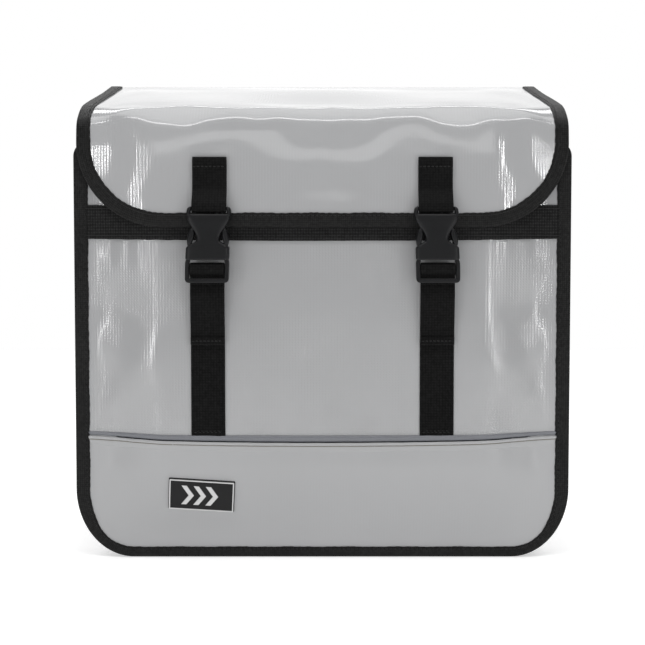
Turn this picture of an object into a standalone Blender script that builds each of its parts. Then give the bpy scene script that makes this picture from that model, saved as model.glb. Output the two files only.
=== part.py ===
"""A bicycle pannier bag of coated fabric: a boxy shell with bound edges, a lid flap held by two
side-release buckles, and on its back a hook rail that hangs it from a luggage rack.

Metres, +Z up. The origin is under the middle of the whole, buckles and hooks included, on the surface
that the bag stands on. The front looks along -Y and the back, which hangs on the rack, along +Y.
"""

import math

import bmesh
import bpy
from mathutils import Matrix, Vector

# ---- driving dimensions: the shell ----
BAG_WIDTH = 0.369  # over the edge bindings
BAG_DEPTH = 0.160  # from the plane of the front panel's edge to that of the back panel
FRONT_HEIGHT = 0.3104
BACK_HEIGHT = 0.3624
CORNER_RADIUS = 0.043  # of the bindings' outer edge
FULLNESS = 0.016  # how far the filled front stands proud of its own edge
ROUNDING = 0.062  # how wide the rounded margin of the filled front is
SIDE_FULLNESS = 0.004
SHEET = 0.0012  # coated fabric
GAP = 0.0003  # between pieces that touch
BINDING_WIDTH = 0.0105
BINDING_THICKNESS = 0.0036
SEAM_HEIGHT = 0.0910  # where the lower front panel meets the upper one, at mid width
SEAM_LIFT = 0.0022  # how much higher that seam ends at the sides
PIPING_RADIUS = 0.0022
BOARD = 0.0030  # stiffener boards
BOARD_MARGIN = 0.012

# ---- driving dimensions: the flap ----
FLAP_INSET = 0.0030  # how far each side of the flap stops short of the bag's
HINGE_HEIGHT = 0.3654
FLAP_SLOPE = math.radians(11.6)
FLAP_BEND = 0.020  # radius of the bend over the front edge
FLAP_LOW = 0.2467  # height of its front edge
FLAP_CORNER = 0.064
FLAP_STANDOFF = 0.0046  # middle of the flap to the middle of the front panel

# ---- driving dimensions: webbing and buckles ----
WEBBING_WIDTH = 0.025
WEBBING = 0.0012
STRAP_X = 0.083  # each strap's distance from the middle
MOUTH_BAND_LOW = 0.2384
STRAP_TOP = 0.2986
TAIL_LOW = 0.1610
STRAP_LEAVES_PANEL = 0.1704
SOCKET_LOW = 0.2232
SOCKET_THICKNESS = 0.0100
SOCKET_WALL = 0.0014
SOCKET_SIDE = 0.0037  # how far the socket runs past the webbing on each side
SOCKET_WAIST_CUT = 0.0074  # how much narrower than its half width the waist is on each side
BAR_RADIUS = 0.0016
CLIP_THICKNESS = 0.0066
CLIP_LENGTH = 0.0160
PRONG_LENGTH = 0.0236
PRONG_THICKNESS = 0.0040
LATCH_OVERHANG = 0.0005

# ---- driving dimensions: the rack fittings ----
RAIL_LENGTH = 0.280
RAIL_HEIGHT = 0.298
RAIL_FLANGE = 0.022
RAIL_WEB = 0.012
RAIL_STANDOFF = 0.0050
RAIL_FLANGE_THICKNESS = 0.0030
HOOK_X = 0.075
HOOK_WIDTH = 0.024
HOOK_THROAT = 0.0125  # for rack tubes up to 12 mm
HOOK_WALL = 0.0045
HOOK_REACH = 0.027  # from the rail's middle up to the seat that rests on the tube
SLIDE_CLEARANCE = 0.0004
LATCH_WIDTH = 0.008
LATCH_TAB = 0.006  # how far the latch stands out past the hook, for a finger
PIN_RADIUS = 0.0015
SCREW_RADIUS = 0.0020
SCREW_X = 0.125
CLAW_X = 0.060
CLAW_HEIGHT = 0.078
CLAW_LENGTH = 0.060

# ---- worked out from them ----
AHEAD = FLAP_STANDOFF + FULLNESS + BINDING_THICKNESS / 2 + GAP + SOCKET_THICKNESS
BEHIND = (
    SHEET / 2 + GAP + RAIL_STANDOFF + RAIL_FLANGE_THICKNESS + SLIDE_CLEARANCE
    + 2 * HOOK_WALL + HOOK_THROAT + LATCH_TAB
)
SOCKET_HALF_WIDTH = WEBBING_WIDTH / 2 + SOCKET_SIDE
SOCKET_WAIST = SOCKET_HALF_WIDTH - SOCKET_WAIST_CUT
FRONT_Y = AHEAD - (AHEAD + BAG_DEPTH + BEHIND) / 2
BACK_Y = FRONT_Y + BAG_DEPTH
MIDDLE_Y = (FRONT_Y + BACK_Y) / 2
EDGE_HALF = BAG_WIDTH / 2
PANEL_HALF = EDGE_HALF - BINDING_WIDTH - GAP
PANEL_LOW = BINDING_WIDTH + GAP
PANEL_CORNER = CORNER_RADIUS - BINDING_WIDTH - GAP
FULL_Y = FRONT_Y - FULLNESS  # middle of the front panel's flat
FLAP_HALF = EDGE_HALF - FLAP_INSET
FLAP_Y = FRONT_Y - FLAP_STANDOFF
FLAP_FACE_Y = FLAP_Y - FULLNESS - BINDING_THICKNESS / 2
SOCKET_Y = FLAP_FACE_Y - GAP - SOCKET_THICKNESS / 2
CAVITY_THICKNESS = SOCKET_THICKNESS - 2 * SOCKET_WALL
CLIP_BACK_Y = SOCKET_Y + CLIP_THICKNESS / 2
BACK_FACE_Y = BACK_Y + SHEET / 2 + GAP
FLANGE_Y = BACK_FACE_Y + RAIL_STANDOFF
BOARD_Y = BACK_Y - SHEET / 2 - GAP - BOARD / 2

COLOURS = {
    "tarpaulin": ((0.38, 0.385, 0.39), 0.32, 0.0),
    "tape": ((0.016, 0.016, 0.016), 0.85, 0.0),
    "webbing": ((0.012, 0.012, 0.012), 0.8, 0.0),
    "buckle_plastic": ((0.018, 0.019, 0.021), 0.45, 0.0),
    "reflective": ((0.17, 0.18, 0.20), 0.35, 0.3),
    "patch_rubber": ((0.02, 0.02, 0.02), 0.6, 0.0),
    "board": ((0.03, 0.03, 0.03), 0.7, 0.0),
    "rail_metal": ((0.35, 0.35, 0.36), 0.4, 1.0),
    "steel": ((0.5, 0.5, 0.5), 0.3, 1.0),
}


# ---- helpers ----
def clear_scene():
    for obj in list(bpy.data.objects):
        bpy.data.objects.remove(obj)


def new_collection(name):
    collection = bpy.data.collections.new(name)
    bpy.context.scene.collection.children.link(collection)
    return collection


def material_of(name):
    found = bpy.data.materials.get(name)
    if found:
        return found
    colour, roughness, metallic = COLOURS[name]
    made = bpy.data.materials.new(name)
    made.use_nodes = True
    shader = made.node_tree.nodes["Principled BSDF"]
    shader.inputs["Base Color"].default_value = (*colour, 1)
    shader.inputs["Roughness"].default_value = roughness
    shader.inputs["Metallic"].default_value = metallic
    made.diffuse_color = (*colour, 1)
    return made


def finish(obj, material, smooth_degrees=35):
    """Puts a mesh object in the part's collection with its material, round faces smooth."""
    PARTS.objects.link(obj)
    obj.data.materials.append(material_of(material))
    obj.data.shade_smooth()
    obj.data.set_sharp_from_angle(angle=math.radians(smooth_degrees))
    return obj


def ease(t):
    """0 to 1 with no slope at either end."""
    t = min(max(t, 0.0), 1.0)
    return t * t * (3 - 2 * t)


def spread(u):
    """0 to 1 becomes -1 to 1, with the points closer together towards both ends."""
    return math.sin((u - 0.5) * math.pi)


def sheet(name, columns, rows, place, thickness, material):
    """A grid whose corners go where place(u, v) says, given a thickness about that surface."""
    bm = bmesh.new()
    bmesh.ops.create_grid(bm, x_segments=columns, y_segments=rows, size=0.5)
    for vertex in bm.verts:
        vertex.co = Vector(place(vertex.co.x + 0.5, vertex.co.y + 0.5))
    mesh = bpy.data.meshes.new(name)
    bm.to_mesh(mesh)
    bm.free()
    obj = finish(bpy.data.objects.new(name, mesh), material)
    shell = obj.modifiers.new("thickness", "SOLIDIFY")
    shell.thickness = thickness
    shell.offset = 0
    return obj


def ribbon(name, path, x, width, thickness, material):
    """Webbing laid along a path of (y, z) points, flat across its width."""
    return sheet(
        name, 1, len(path) - 1,
        lambda u, v: (x + (u - 0.5) * width, *path[round(v * (len(path) - 1))]),
        thickness, material,
    )


def slab(name, outlines, thickness, plane, location, material=None, bevel=0.0):
    """Outlines filled and extruded to a thickness about their plane, those inside the first as holes.
    In plane XZ the thickness runs along Y, and in plane YZ along X."""
    curve = bpy.data.curves.new(name, "CURVE")
    curve.dimensions = "2D"
    curve.fill_mode = "BOTH"
    curve.extrude = thickness / 2
    for outline in outlines:
        spline = curve.splines.new("POLY")
        spline.points.add(len(outline) - 1)
        for point, (a, b) in zip(spline.points, outline):
            point.co = (a, b, 0, 1)
        spline.use_cyclic_u = True
    guide = bpy.data.objects.new(name + "_outline", curve)
    turn = {"XZ": (math.pi / 2, 0, 0), "YZ": (math.pi / 2, 0, math.pi / 2), "XY": (0, 0, 0)}
    guide.rotation_euler = turn[plane]
    guide.location = location
    bpy.context.scene.collection.objects.link(guide)
    bpy.context.view_layer.update()
    graph = bpy.context.evaluated_depsgraph_get()
    mesh = bpy.data.meshes.new_from_object(guide.evaluated_get(graph))
    obj = bpy.data.objects.new(name, mesh)
    obj.matrix_world = guide.matrix_world.copy()
    bpy.data.objects.remove(guide)
    bm = bmesh.new()
    bm.from_mesh(mesh)
    bmesh.ops.remove_doubles(bm, verts=bm.verts, dist=1e-6)
    bmesh.ops.recalc_face_normals(bm, faces=bm.faces)
    bm.to_mesh(mesh)
    bm.free()
    if material is None:
        return hide_cutter(obj)
    finish(obj, material)
    if bevel:
        rounding = obj.modifiers.new("rounded_edges", "BEVEL")
        rounding.width = bevel
        rounding.segments = 2
        rounding.limit_method = "ANGLE"
        rounding.angle_limit = math.radians(50)
    return obj


def turned(name, profile, location, axis, material, steps=16):
    """A turned piece: profile is (radius, height) points down its outer side, spun about axis."""
    mesh = bpy.data.meshes.new(name)
    mesh.from_pydata([(r, 0, h) for r, h in profile], [(i, i + 1) for i in range(len(profile) - 1)], [])
    obj = bpy.data.objects.new(name, mesh)
    obj.rotation_euler = Vector(axis).to_track_quat("Z", "Y").to_euler()
    obj.location = location
    PARTS.objects.link(obj)
    obj.data.materials.append(material_of(material))
    spin = obj.modifiers.new("spin", "SCREW")
    spin.steps = steps
    spin.render_steps = steps
    spin.use_merge_vertices = True
    spin.merge_threshold = 0.00001
    return obj


def rod(name, radius, length, location, axis, material=None, sides=16):
    """A plain cylinder centred on location, or a cutter when it has no material."""
    bm = bmesh.new()
    bmesh.ops.create_cone(
        bm, cap_ends=True, segments=sides, radius1=radius, radius2=radius, depth=length
    )
    mesh = bpy.data.meshes.new(name)
    bm.to_mesh(mesh)
    bm.free()
    obj = bpy.data.objects.new(name, mesh)
    obj.rotation_euler = Vector(axis).to_track_quat("Z", "Y").to_euler()
    obj.location = location
    return finish(obj, material) if material else hide_cutter(obj)


def block(name, size, centre, material=None):
    """A box, or a cutter when it has no material."""
    half_x, half_z = size[0] / 2, size[2] / 2
    corners = [(-half_x, -half_z), (half_x, -half_z), (half_x, half_z), (-half_x, half_z)]
    return slab(name, [corners], size[1], "XZ", centre, material)


def hide_cutter(obj):
    CUTTERS.objects.link(obj)
    obj.hide_render = True
    obj.display_type = "WIRE"
    return obj


def boolean(obj, cutter, operation="DIFFERENCE"):
    step = obj.modifiers.new(operation.lower(), "BOOLEAN")
    step.operation = operation
    step.object = cutter
    step.solver = "EXACT"


def filleted(corners, segments=4):
    """An outline from (a, b, radius) corners, each rounded by an arc of its radius."""
    outline = []
    count = len(corners)
    for i, (a, b, radius) in enumerate(corners):
        here = Vector((a, b))
        before = (Vector(corners[i - 1][:2]) - here).normalized()
        after = (Vector(corners[(i + 1) % count][:2]) - here).normalized()
        if radius <= 0:
            outline.append((a, b))
            continue
        half = before.angle(after) / 2
        reach = radius / math.tan(half)
        centre = here + (before + after).normalized() * (radius / math.sin(half))
        start = here + before * reach - centre
        sweep = start.angle_signed(here + after * reach - centre)
        for k in range(segments + 1):
            arm = start.copy()
            arm.rotate(Matrix.Rotation(-sweep * k / segments, 2))
            outline.append(tuple(centre + arm))
    return outline


# ---- the shell's shape ----
def fullness_at(x, z):
    """How far the filled front stands proud at x across and z up: nothing at its bound edge."""
    side = ease((PANEL_HALF - abs(x)) / ROUNDING)
    bottom = ease((z - PANEL_LOW) / ROUNDING)
    return FULLNESS * side * bottom


def front_point(x, z, proud=0.0):
    return (x, FRONT_Y - fullness_at(x, z) - proud, z)


def panel_half_at(z, low=PANEL_LOW, half=PANEL_HALF, radius=PANEL_CORNER):
    """Half width of a panel with round bottom corners, at height z."""
    rise = radius - (z - low)
    if rise <= 0:
        return half
    return half - radius + math.sqrt(max(radius**2 - rise**2, 0.0))


def seam_at(x):
    return SEAM_HEIGHT + SEAM_LIFT * (x / PANEL_HALF) ** 2


def rim_height(y):
    """Height of the mouth's edge at depth y, from the low front to the high back."""
    share = (y - FRONT_Y) / BAG_DEPTH
    return FRONT_HEIGHT + (BACK_HEIGHT - FRONT_HEIGHT) * share


def bound_edge(half, low, top, radius, sides=4, corner=7, bottom=6):
    """Points (x, z) and inward directions down one side, round the bottom and up the other side."""
    edge = [((-half, top + (low + radius - top) * i / sides), (1, 0)) for i in range(sides)]
    for i in range(corner):
        angle = math.pi + math.pi / 2 * i / corner
        edge.append((
            (-half + radius + radius * math.cos(angle), low + radius + radius * math.sin(angle)),
            (-math.cos(angle), -math.sin(angle)),
        ))
    run = half - radius
    edge += [((-run + 2 * run * i / bottom, low), (0, 1)) for i in range(bottom // 2 + 1)]
    mirrored = [((-x, z), (-a, b)) for (x, z), (a, b) in reversed(edge)]
    return edge + mirrored[1:]


def binding(name, edge, surface, width, thickness):
    """Tape folded over a bound edge: a flat band from the edge inwards, on a surface of (x, z)."""
    def place(u, v):
        (x, z), (inward_x, inward_z) = edge[round(v * (len(edge) - 1))]
        return surface(x + inward_x * width * u, z + inward_z * width * u)

    return sheet(name, 1, len(edge) - 1, place, thickness, "tape")


def front_panels():
    def upper(u, v):
        x = spread(u) * PANEL_HALF
        low = seam_at(x) + 2 * PIPING_RADIUS / 2 + GAP
        return front_point(x, low + (FRONT_HEIGHT - GAP - low - BINDING_WIDTH) * v)

    def lower(u, v):
        share = 1 - math.cos(v * math.pi / 2)
        z = PANEL_LOW + (SEAM_HEIGHT - PANEL_LOW) * share
        x = spread(u) * panel_half_at(z)
        top = seam_at(x) - PIPING_RADIUS - GAP
        return front_point(x, PANEL_LOW + (top - PANEL_LOW) * share)

    sheet("front_upper_panel", 14, 9, upper, SHEET, "tarpaulin")
    sheet("front_lower_panel", 14, 8, lower, SHEET, "tarpaulin")

    curve = bpy.data.curves.new("reflective_piping", "CURVE")
    curve.dimensions = "3D"
    curve.bevel_depth = PIPING_RADIUS
    curve.bevel_resolution = 2
    curve.use_fill_caps = True
    spline = curve.splines.new("POLY")
    count = 15
    spline.points.add(count - 1)
    for i, point in enumerate(spline.points):
        x = spread(i / (count - 1)) * PANEL_HALF
        point.co = (*front_point(x, seam_at(x)), 1)
    obj = bpy.data.objects.new("reflective_piping", curve)
    PARTS.objects.link(obj)
    curve.materials.append(material_of("reflective"))

    def band(u, v):
        x = spread(u) * PANEL_HALF
        return front_point(x, MOUTH_BAND_LOW + WEBBING_WIDTH * v, SHEET / 2 + GAP + WEBBING / 2)

    sheet("mouth_webbing", 14, 1, band, WEBBING, "webbing")


def gusset():
    """The strip that joins front and back: down one side, under the bag and up the other."""
    half = PANEL_HALF - SHEET / 2 - SIDE_FULLNESS
    low = PANEL_LOW + SHEET / 2
    length = BAG_DEPTH - BINDING_THICKNESS - 2 * GAP
    path = bound_edge(half, low, 1.0, PANEL_CORNER - SHEET, sides=4, corner=6, bottom=4)

    def place(u, v):
        y = MIDDLE_Y - length / 2 + length * v
        (x, z), _ = path[round(u * (len(path) - 1))]
        bottom = low + PANEL_CORNER - SHEET
        if z > bottom:
            z = bottom + (rim_height(y) - BINDING_WIDTH - GAP - bottom) * (z - bottom) / (1.0 - bottom)
        swell = SIDE_FULLNESS * math.sin(math.pi * v) * (1 if z > low + 0.001 else 0)
        return x + math.copysign(swell, x), y, z

    sheet("gusset", len(path) - 1, 6, place, SHEET, "tarpaulin")


def back_panel():
    def place(u, v):
        z = PANEL_LOW + (BACK_HEIGHT - PANEL_LOW) * (1 - math.cos(v * math.pi / 2))
        return spread(u) * panel_half_at(z), BACK_Y, z

    panel = sheet("back_panel", 10, 10, place, SHEET, "tarpaulin")

    margin = BOARD_MARGIN
    half, low = PANEL_HALF - margin, PANEL_LOW + margin

    def inner(u, v):
        z = low + (BACK_HEIGHT - margin - low) * (1 - math.cos(v * math.pi / 2))
        return spread(u) * panel_half_at(z, low, half), BOARD_Y, z

    board = sheet("back_stiffener", 8, 6, inner, BOARD, "board")
    base_depth = BAG_DEPTH - BINDING_THICKNESS - 2 * BOARD - 4 * margin / 3
    base_half = PANEL_HALF - PANEL_CORNER - margin / 2
    corner = filleted([
        (-base_half, -base_depth / 2, margin), (base_half, -base_depth / 2, margin),
        (base_half, base_depth / 2, margin), (-base_half, base_depth / 2, margin),
    ])
    height = PANEL_LOW + SHEET + GAP + BOARD / 2
    slab("base_board", [corner], BOARD, "XY", (0, MIDDLE_Y - BOARD, height), "board")
    return panel, board


def bindings():
    for name, y in (("front_edge_binding", FRONT_Y), ("back_edge_binding", BACK_Y)):
        top = FRONT_HEIGHT if y < 0 else BACK_HEIGHT
        edge = bound_edge(EDGE_HALF, 0, top, CORNER_RADIUS)
        binding(name, edge, lambda x, z, y=y: (x, y, z), BINDING_WIDTH, BINDING_THICKNESS)

    def front_rim(u, v):
        return front_point(spread(u) * PANEL_HALF, FRONT_HEIGHT - BINDING_WIDTH * v)

    sheet("front_rim_binding", 14, 1, front_rim, BINDING_THICKNESS, "tape")
    length = BAG_DEPTH - BINDING_THICKNESS - 2 * GAP - 4 * SHEET
    for side, word in ((-1, "left"), (1, "right")):
        def side_rim(u, v, side=side):
            y = MIDDLE_Y - length / 2 + length * u
            swell = SIDE_FULLNESS * math.sin(math.pi * (u * length + 2 * SHEET) / (length + 4 * SHEET))
            x = side * (PANEL_HALF - SHEET / 2 - SIDE_FULLNESS + swell)
            return x, y, rim_height(y) - BINDING_WIDTH * v

        sheet(f"{word}_rim_binding", 6, 1, side_rim, BINDING_THICKNESS, "tape")


# ---- the flap ----
FLAP_TANGENT = FLAP_BEND * math.tan((math.pi / 2 - FLAP_SLOPE) / 2)
FLAP_RUN = (BACK_Y - FLAP_Y) / math.cos(FLAP_SLOPE)
FLAP_TOP = FLAP_RUN - FLAP_TANGENT  # length of the sloping top
FLAP_ARC = FLAP_BEND * (math.pi / 2 - FLAP_SLOPE)
BEND_LOW = HINGE_HEIGHT - FLAP_RUN * math.sin(FLAP_SLOPE) - FLAP_TANGENT
FLAP_LENGTH = FLAP_TOP + FLAP_ARC + BEND_LOW - FLAP_LOW


def flap_point(x, s, proud=0.0):
    """A point of the flap from its flat pattern: x across, s along it from the hinge line."""
    if s < FLAP_TOP:
        y = BACK_Y - s * math.cos(FLAP_SLOPE)
        z = HINGE_HEIGHT - s * math.sin(FLAP_SLOPE)
        lean = FLAP_SLOPE
    elif s < FLAP_TOP + FLAP_ARC:
        lean = FLAP_SLOPE + (s - FLAP_TOP) / FLAP_BEND
        y = FLAP_Y + FLAP_BEND * (1 - math.sin(lean))
        z = BEND_LOW + FLAP_BEND * math.cos(lean)
    else:
        y = FLAP_Y
        z = BEND_LOW - (s - FLAP_TOP - FLAP_ARC)
        lean = math.pi / 2
    side = ease((FLAP_HALF - abs(x)) / ROUNDING)
    y -= FULLNESS * side * ease(s / (FLAP_TOP + FLAP_ARC))
    return x, y - proud * math.sin(lean), z + proud * math.cos(lean)


def flap():
    inner_half = FLAP_HALF - BINDING_WIDTH - GAP
    inner_length = FLAP_LENGTH - BINDING_WIDTH - GAP
    inner_corner = FLAP_CORNER - BINDING_WIDTH - GAP
    rows = 26

    def place(u, v):
        s = inner_length * v
        rise = inner_corner - (inner_length - s)
        half = inner_half
        if rise > 0:
            half -= inner_corner - math.sqrt(max(inner_corner**2 - rise**2, 0.0))
        return flap_point(spread(u) * half, s)

    sheet("flap_panel", 14, rows, place, SHEET, "tarpaulin")
    edge = bound_edge(FLAP_HALF, -FLAP_LENGTH, 0, FLAP_CORNER, sides=24, corner=8, bottom=14)
    binding(
        "flap_edge_binding", edge, lambda x, s: flap_point(x, -s), BINDING_WIDTH, BINDING_THICKNESS
    )

    def seam(u, v):
        return spread(u) * PANEL_HALF, BACK_FACE_Y + WEBBING / 2, BACK_HEIGHT - WEBBING_WIDTH * v

    sheet("flap_seam_webbing", 8, 1, seam, WEBBING, "webbing")


# ---- straps and buckles ----
BAR_HEIGHT = SOCKET_LOW + 0.0368
CLIP_TOP = SOCKET_LOW - GAP
CLIP_LOW = CLIP_TOP - CLIP_LENGTH
CLIP_BAR_HEIGHT = CLIP_LOW + 0.0078
LOOP_RADIUS = BAR_RADIUS + GAP + WEBBING / 2


def arc(centre, radius, start, end, steps):
    """Points (y, z) round a bar, by angles in degrees from +Y towards +Z."""
    angles = [math.radians(start + (end - start) * i / steps) for i in range(steps + 1)]
    return [(centre[0] + radius * math.cos(a), centre[1] + radius * math.sin(a)) for a in angles]


def upper_strap(word, x):
    """Sewn to the flap, down its face, round the socket's bar and back up behind itself."""
    on_flap = FLAP_Y - FULLNESS - SHEET / 2 - GAP - WEBBING / 2
    front = on_flap - WEBBING - GAP
    bar = (SOCKET_Y, BAR_HEIGHT)
    path = [(front, STRAP_TOP), (front, STRAP_TOP - 0.020), (SOCKET_Y - LOOP_RADIUS, BAR_HEIGHT + 0.003)]
    path += arc(bar, LOOP_RADIUS, 180, 370, 10)
    path += [(on_flap, STRAP_TOP - 0.021), (on_flap, STRAP_TOP - 0.002)]
    ribbon(f"upper_strap_{word}", path, x, WEBBING_WIDTH, WEBBING, "webbing")


def socket_outline():
    """Half of the socket's face, top to bottom: ears, waist between the windows, wide mouth."""
    half, waist, low = SOCKET_HALF_WIDTH, SOCKET_WAIST, SOCKET_LOW
    right = [
        (half - 0.0012, low + 0.0384, 0.0010), (half + 0.0004, low + 0.0330, 0.0040),
        (waist + 0.0030, low + 0.0245, 0.0040), (waist, low + 0.0180, 0.0040),
        (waist + 0.0006, low + 0.0128, 0.0016), (half - 0.0018, low + 0.0098, 0.0012),
        (half, low, 0.0008),
    ]
    left = [(-a, b, r) for a, b, r in reversed(right)]
    return filleted(right + left, segments=3)


def socket(word, x):
    """The buckle half on the flap: a hollow body open below, with a window in each side."""
    name = f"buckle_socket_{word}"
    body = slab(name, [socket_outline()], SOCKET_THICKNESS, "XZ", (x, SOCKET_Y, 0), "buckle_plastic")
    inside = SOCKET_HALF_WIDTH - SOCKET_WALL - 0.0009
    mouth = block(
        name + "_cavity", (2 * inside, CAVITY_THICKNESS, 0.027), (x, SOCKET_Y, SOCKET_LOW + 0.0125)
    )
    boolean(body, mouth)
    slot_half = WEBBING_WIDTH / 2 + 0.0010
    slot = block(
        name + "_slot", (2 * slot_half, SOCKET_THICKNESS * 2, 0.012),
        (x, SOCKET_Y, SOCKET_LOW + 0.0312 + 0.006),
    )
    boolean(body, slot)
    bar = rod(name + "_bar", BAR_RADIUS, 2 * slot_half + 0.002, (x, SOCKET_Y, BAR_HEIGHT), (1, 0, 0))
    boolean(body, bar, "UNION")
    return body


def clip(word, x):
    """The buckle half on the lower strap: a frame with a bar for the webbing and a guide rib."""
    name = f"buckle_clip_{word}"
    half = SOCKET_HALF_WIDTH - 0.0002
    outer = filleted([
        (-half, CLIP_LOW, 0.0015), (half, CLIP_LOW, 0.0015),
        (half, CLIP_TOP, 0.0008), (-half, CLIP_TOP, 0.0008),
    ], segments=3)
    window_half = WEBBING_WIDTH / 2 + 0.0010
    window = [
        (-window_half, CLIP_LOW + 0.0026), (window_half, CLIP_LOW + 0.0026),
        (window_half, CLIP_TOP - 0.0024), (-window_half, CLIP_TOP - 0.0024),
    ]
    body = slab(name, [outer, window], CLIP_THICKNESS, "XZ", (x, SOCKET_Y, 0), "buckle_plastic")
    bar = rod(name + "_bar", BAR_RADIUS, 2 * window_half + 0.002, (x, SOCKET_Y, CLIP_BAR_HEIGHT), (1, 0, 0))
    boolean(body, bar, "UNION")
    rib_length = PRONG_LENGTH * 0.7
    rib = block(
        name + "_rib", (0.0030, PRONG_THICKNESS, rib_length + 0.001),
        (x, SOCKET_Y, CLIP_TOP + rib_length / 2 - 0.0005),
    )
    boolean(body, rib, "UNION")
    under_bar = block(  # the strap's free end passes behind the lowest bar
        name + "_strap_way", (2 * window_half, CLIP_THICKNESS, 0.006),
        (x, SOCKET_Y + CLIP_THICKNESS - 0.0022, CLIP_LOW + 0.001),
    )
    boolean(body, under_bar)
    return body


def prong(word, x, side):
    """A springy arm of the clip. Its thumb pad fills the socket's window and catches below it."""
    outer = SOCKET_HALF_WIDTH - SOCKET_WALL - 0.0009 - GAP
    catch = outer + GAP + LATCH_OVERHANG
    root = CLIP_TOP + GAP
    arm = 0.0030
    corners = [
        (outer - arm, root, 0), (outer, root, 0), (outer, root + 0.0105, 0.0008),
        (catch, root + 0.0150, 0.0010), (catch - 0.0016, root + 0.0195, 0.0020),
        (outer - arm - 0.0006, root + PRONG_LENGTH, 0.0008), (outer - arm - 0.0016, root + 0.0195, 0.0010),
        (outer - arm, root + 0.0105, 0.0020),
    ]
    outline = filleted([(side * a, b, r) for a, b, r in corners], segments=3)
    word_side = "outer" if side * x > 0 else "inner"
    slab(
        f"clip_prong_{word}_{word_side}", [outline], PRONG_THICKNESS, "XZ", (x, SOCKET_Y, 0),
        "buckle_plastic",
    )


def lower_strap(word, x):
    """Sewn in under the piping, up the front and behind the clip, where its loop takes over."""
    on_panel = FULL_Y - SHEET / 2 - GAP - WEBBING / 2
    behind_clip = CLIP_BACK_Y + GAP + WEBBING / 2
    path = [
        (on_panel, seam_at(x) + PIPING_RADIUS + 2 * GAP), (on_panel, STRAP_LEAVES_PANEL - 0.010),
        (on_panel - 0.0004, STRAP_LEAVES_PANEL), (behind_clip, CLIP_LOW), (behind_clip, CLIP_BAR_HEIGHT),
    ]
    ribbon(f"lower_strap_{word}", path, x, WEBBING_WIDTH, WEBBING, "webbing")
    step = WEBBING + GAP
    bar = (SOCKET_Y, CLIP_BAR_HEIGHT)
    threaded = behind_clip - step
    path = arc(bar, LOOP_RADIUS, 0, 180, 10)
    leaves = CLIP_LOW - 0.002
    path += [
        (SOCKET_Y - LOOP_RADIUS * 0.8, CLIP_BAR_HEIGHT - 0.0020), (threaded, CLIP_LOW + 0.0030),
        (threaded, leaves),
    ]
    ribbon(f"strap_loop_{word}", path, x, WEBBING_WIDTH, WEBBING, "webbing")
    path = [
        (threaded, leaves - GAP), (on_panel - 0.0006 - step, STRAP_LEAVES_PANEL - 0.001),
        (on_panel - 0.0004 - step, TAIL_LOW),
    ]
    ribbon(f"strap_tail_{word}", path, x, WEBBING_WIDTH, WEBBING, "webbing")


def badge():
    """A plain rubber badge sewn to the lower panel, a little out of true."""
    centre_x, centre_z = -0.0898, 0.0488
    width, height, tilt = 0.0492, 0.0245, math.radians(-3.6)

    def place(u, v):
        a, b = (u - 0.5) * width, (v - 0.5) * height
        x = centre_x + a * math.cos(tilt) - b * math.sin(tilt)
        z = centre_z + a * math.sin(tilt) + b * math.cos(tilt)
        return front_point(x, z, SHEET / 2 + 2 * GAP + 0.0008)

    sheet("badge", 6, 5, place, 0.0014, "patch_rubber")


# ---- rack fittings ----
def rail_and_screws(panel, board):
    """A T-section rail, screwed through the back panel and its board into nuts inside."""
    web, flange = RAIL_WEB / 2, RAIL_FLANGE / 2
    depth = FLANGE_Y + RAIL_FLANGE_THICKNESS
    profile = [
        (BACK_FACE_Y, -web), (FLANGE_Y, -web), (FLANGE_Y, -flange), (depth, -flange),
        (depth, flange), (FLANGE_Y, flange), (FLANGE_Y, web), (BACK_FACE_Y, web),
    ]
    rail = slab("hook_rail", [profile], RAIL_LENGTH, "YZ", (0, 0, RAIL_HEIGHT), "rail_metal")
    inside = BOARD_Y - BOARD / 2
    for word, x in (("left", -SCREW_X), ("right", SCREW_X)):
        name = f"rail_screw_{word}"
        hole = rod(name + "_hole", SCREW_RADIUS + GAP, 0.1, (x, BACK_Y, RAIL_HEIGHT), (0, 1, 0))
        for obj in (rail, panel, board):
            boolean(obj, hole)
        screw_and_nut(name, f"rail_nut_{word}", x, RAIL_HEIGHT, depth, inside)


def screw_and_nut(name, nut_name, x, z, head_at, inside):
    """A pan-head screw from outside, and a washer-faced nut on it inside the bag."""
    shank, head = SCREW_RADIUS, SCREW_RADIUS * 2
    nut_y = inside - GAP
    end = nut_y - 0.0040
    length = head_at + GAP - end
    profile = [
        (0, 0.0022), (head * 0.6, 0.0020), (head, 0.0010), (head, 0), (shank, 0),
        (shank, -length), (0, -length),
    ]
    turned(name, profile, (x, head_at + GAP, z), (0, 1, 0), "steel", steps=12)
    bore = shank + GAP
    outer = 0.0035 / math.cos(math.pi / 6)
    hexagon = [(outer * math.cos(math.pi / 3 * i), outer * math.sin(math.pi / 3 * i)) for i in range(6)]
    ring = [(bore * math.cos(math.pi / 6 * i), bore * math.sin(math.pi / 6 * i)) for i in range(12)]
    slab(nut_name, [hexagon, ring], 0.0032, "XZ", (x, nut_y - 0.0016, z), "steel")


LATCH_PIVOT_Y = FLANGE_Y + RAIL_FLANGE_THICKNESS + SLIDE_CLEARANCE + HOOK_WALL + 0.0040
LATCH_PIVOT_Z = RAIL_HEIGHT - RAIL_FLANGE / 2 + 0.0040
HOOK_BACK_Y = FLANGE_Y + RAIL_FLANGE_THICKNESS + SLIDE_CLEARANCE
THROAT_Y = HOOK_BACK_Y + HOOK_WALL


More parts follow.
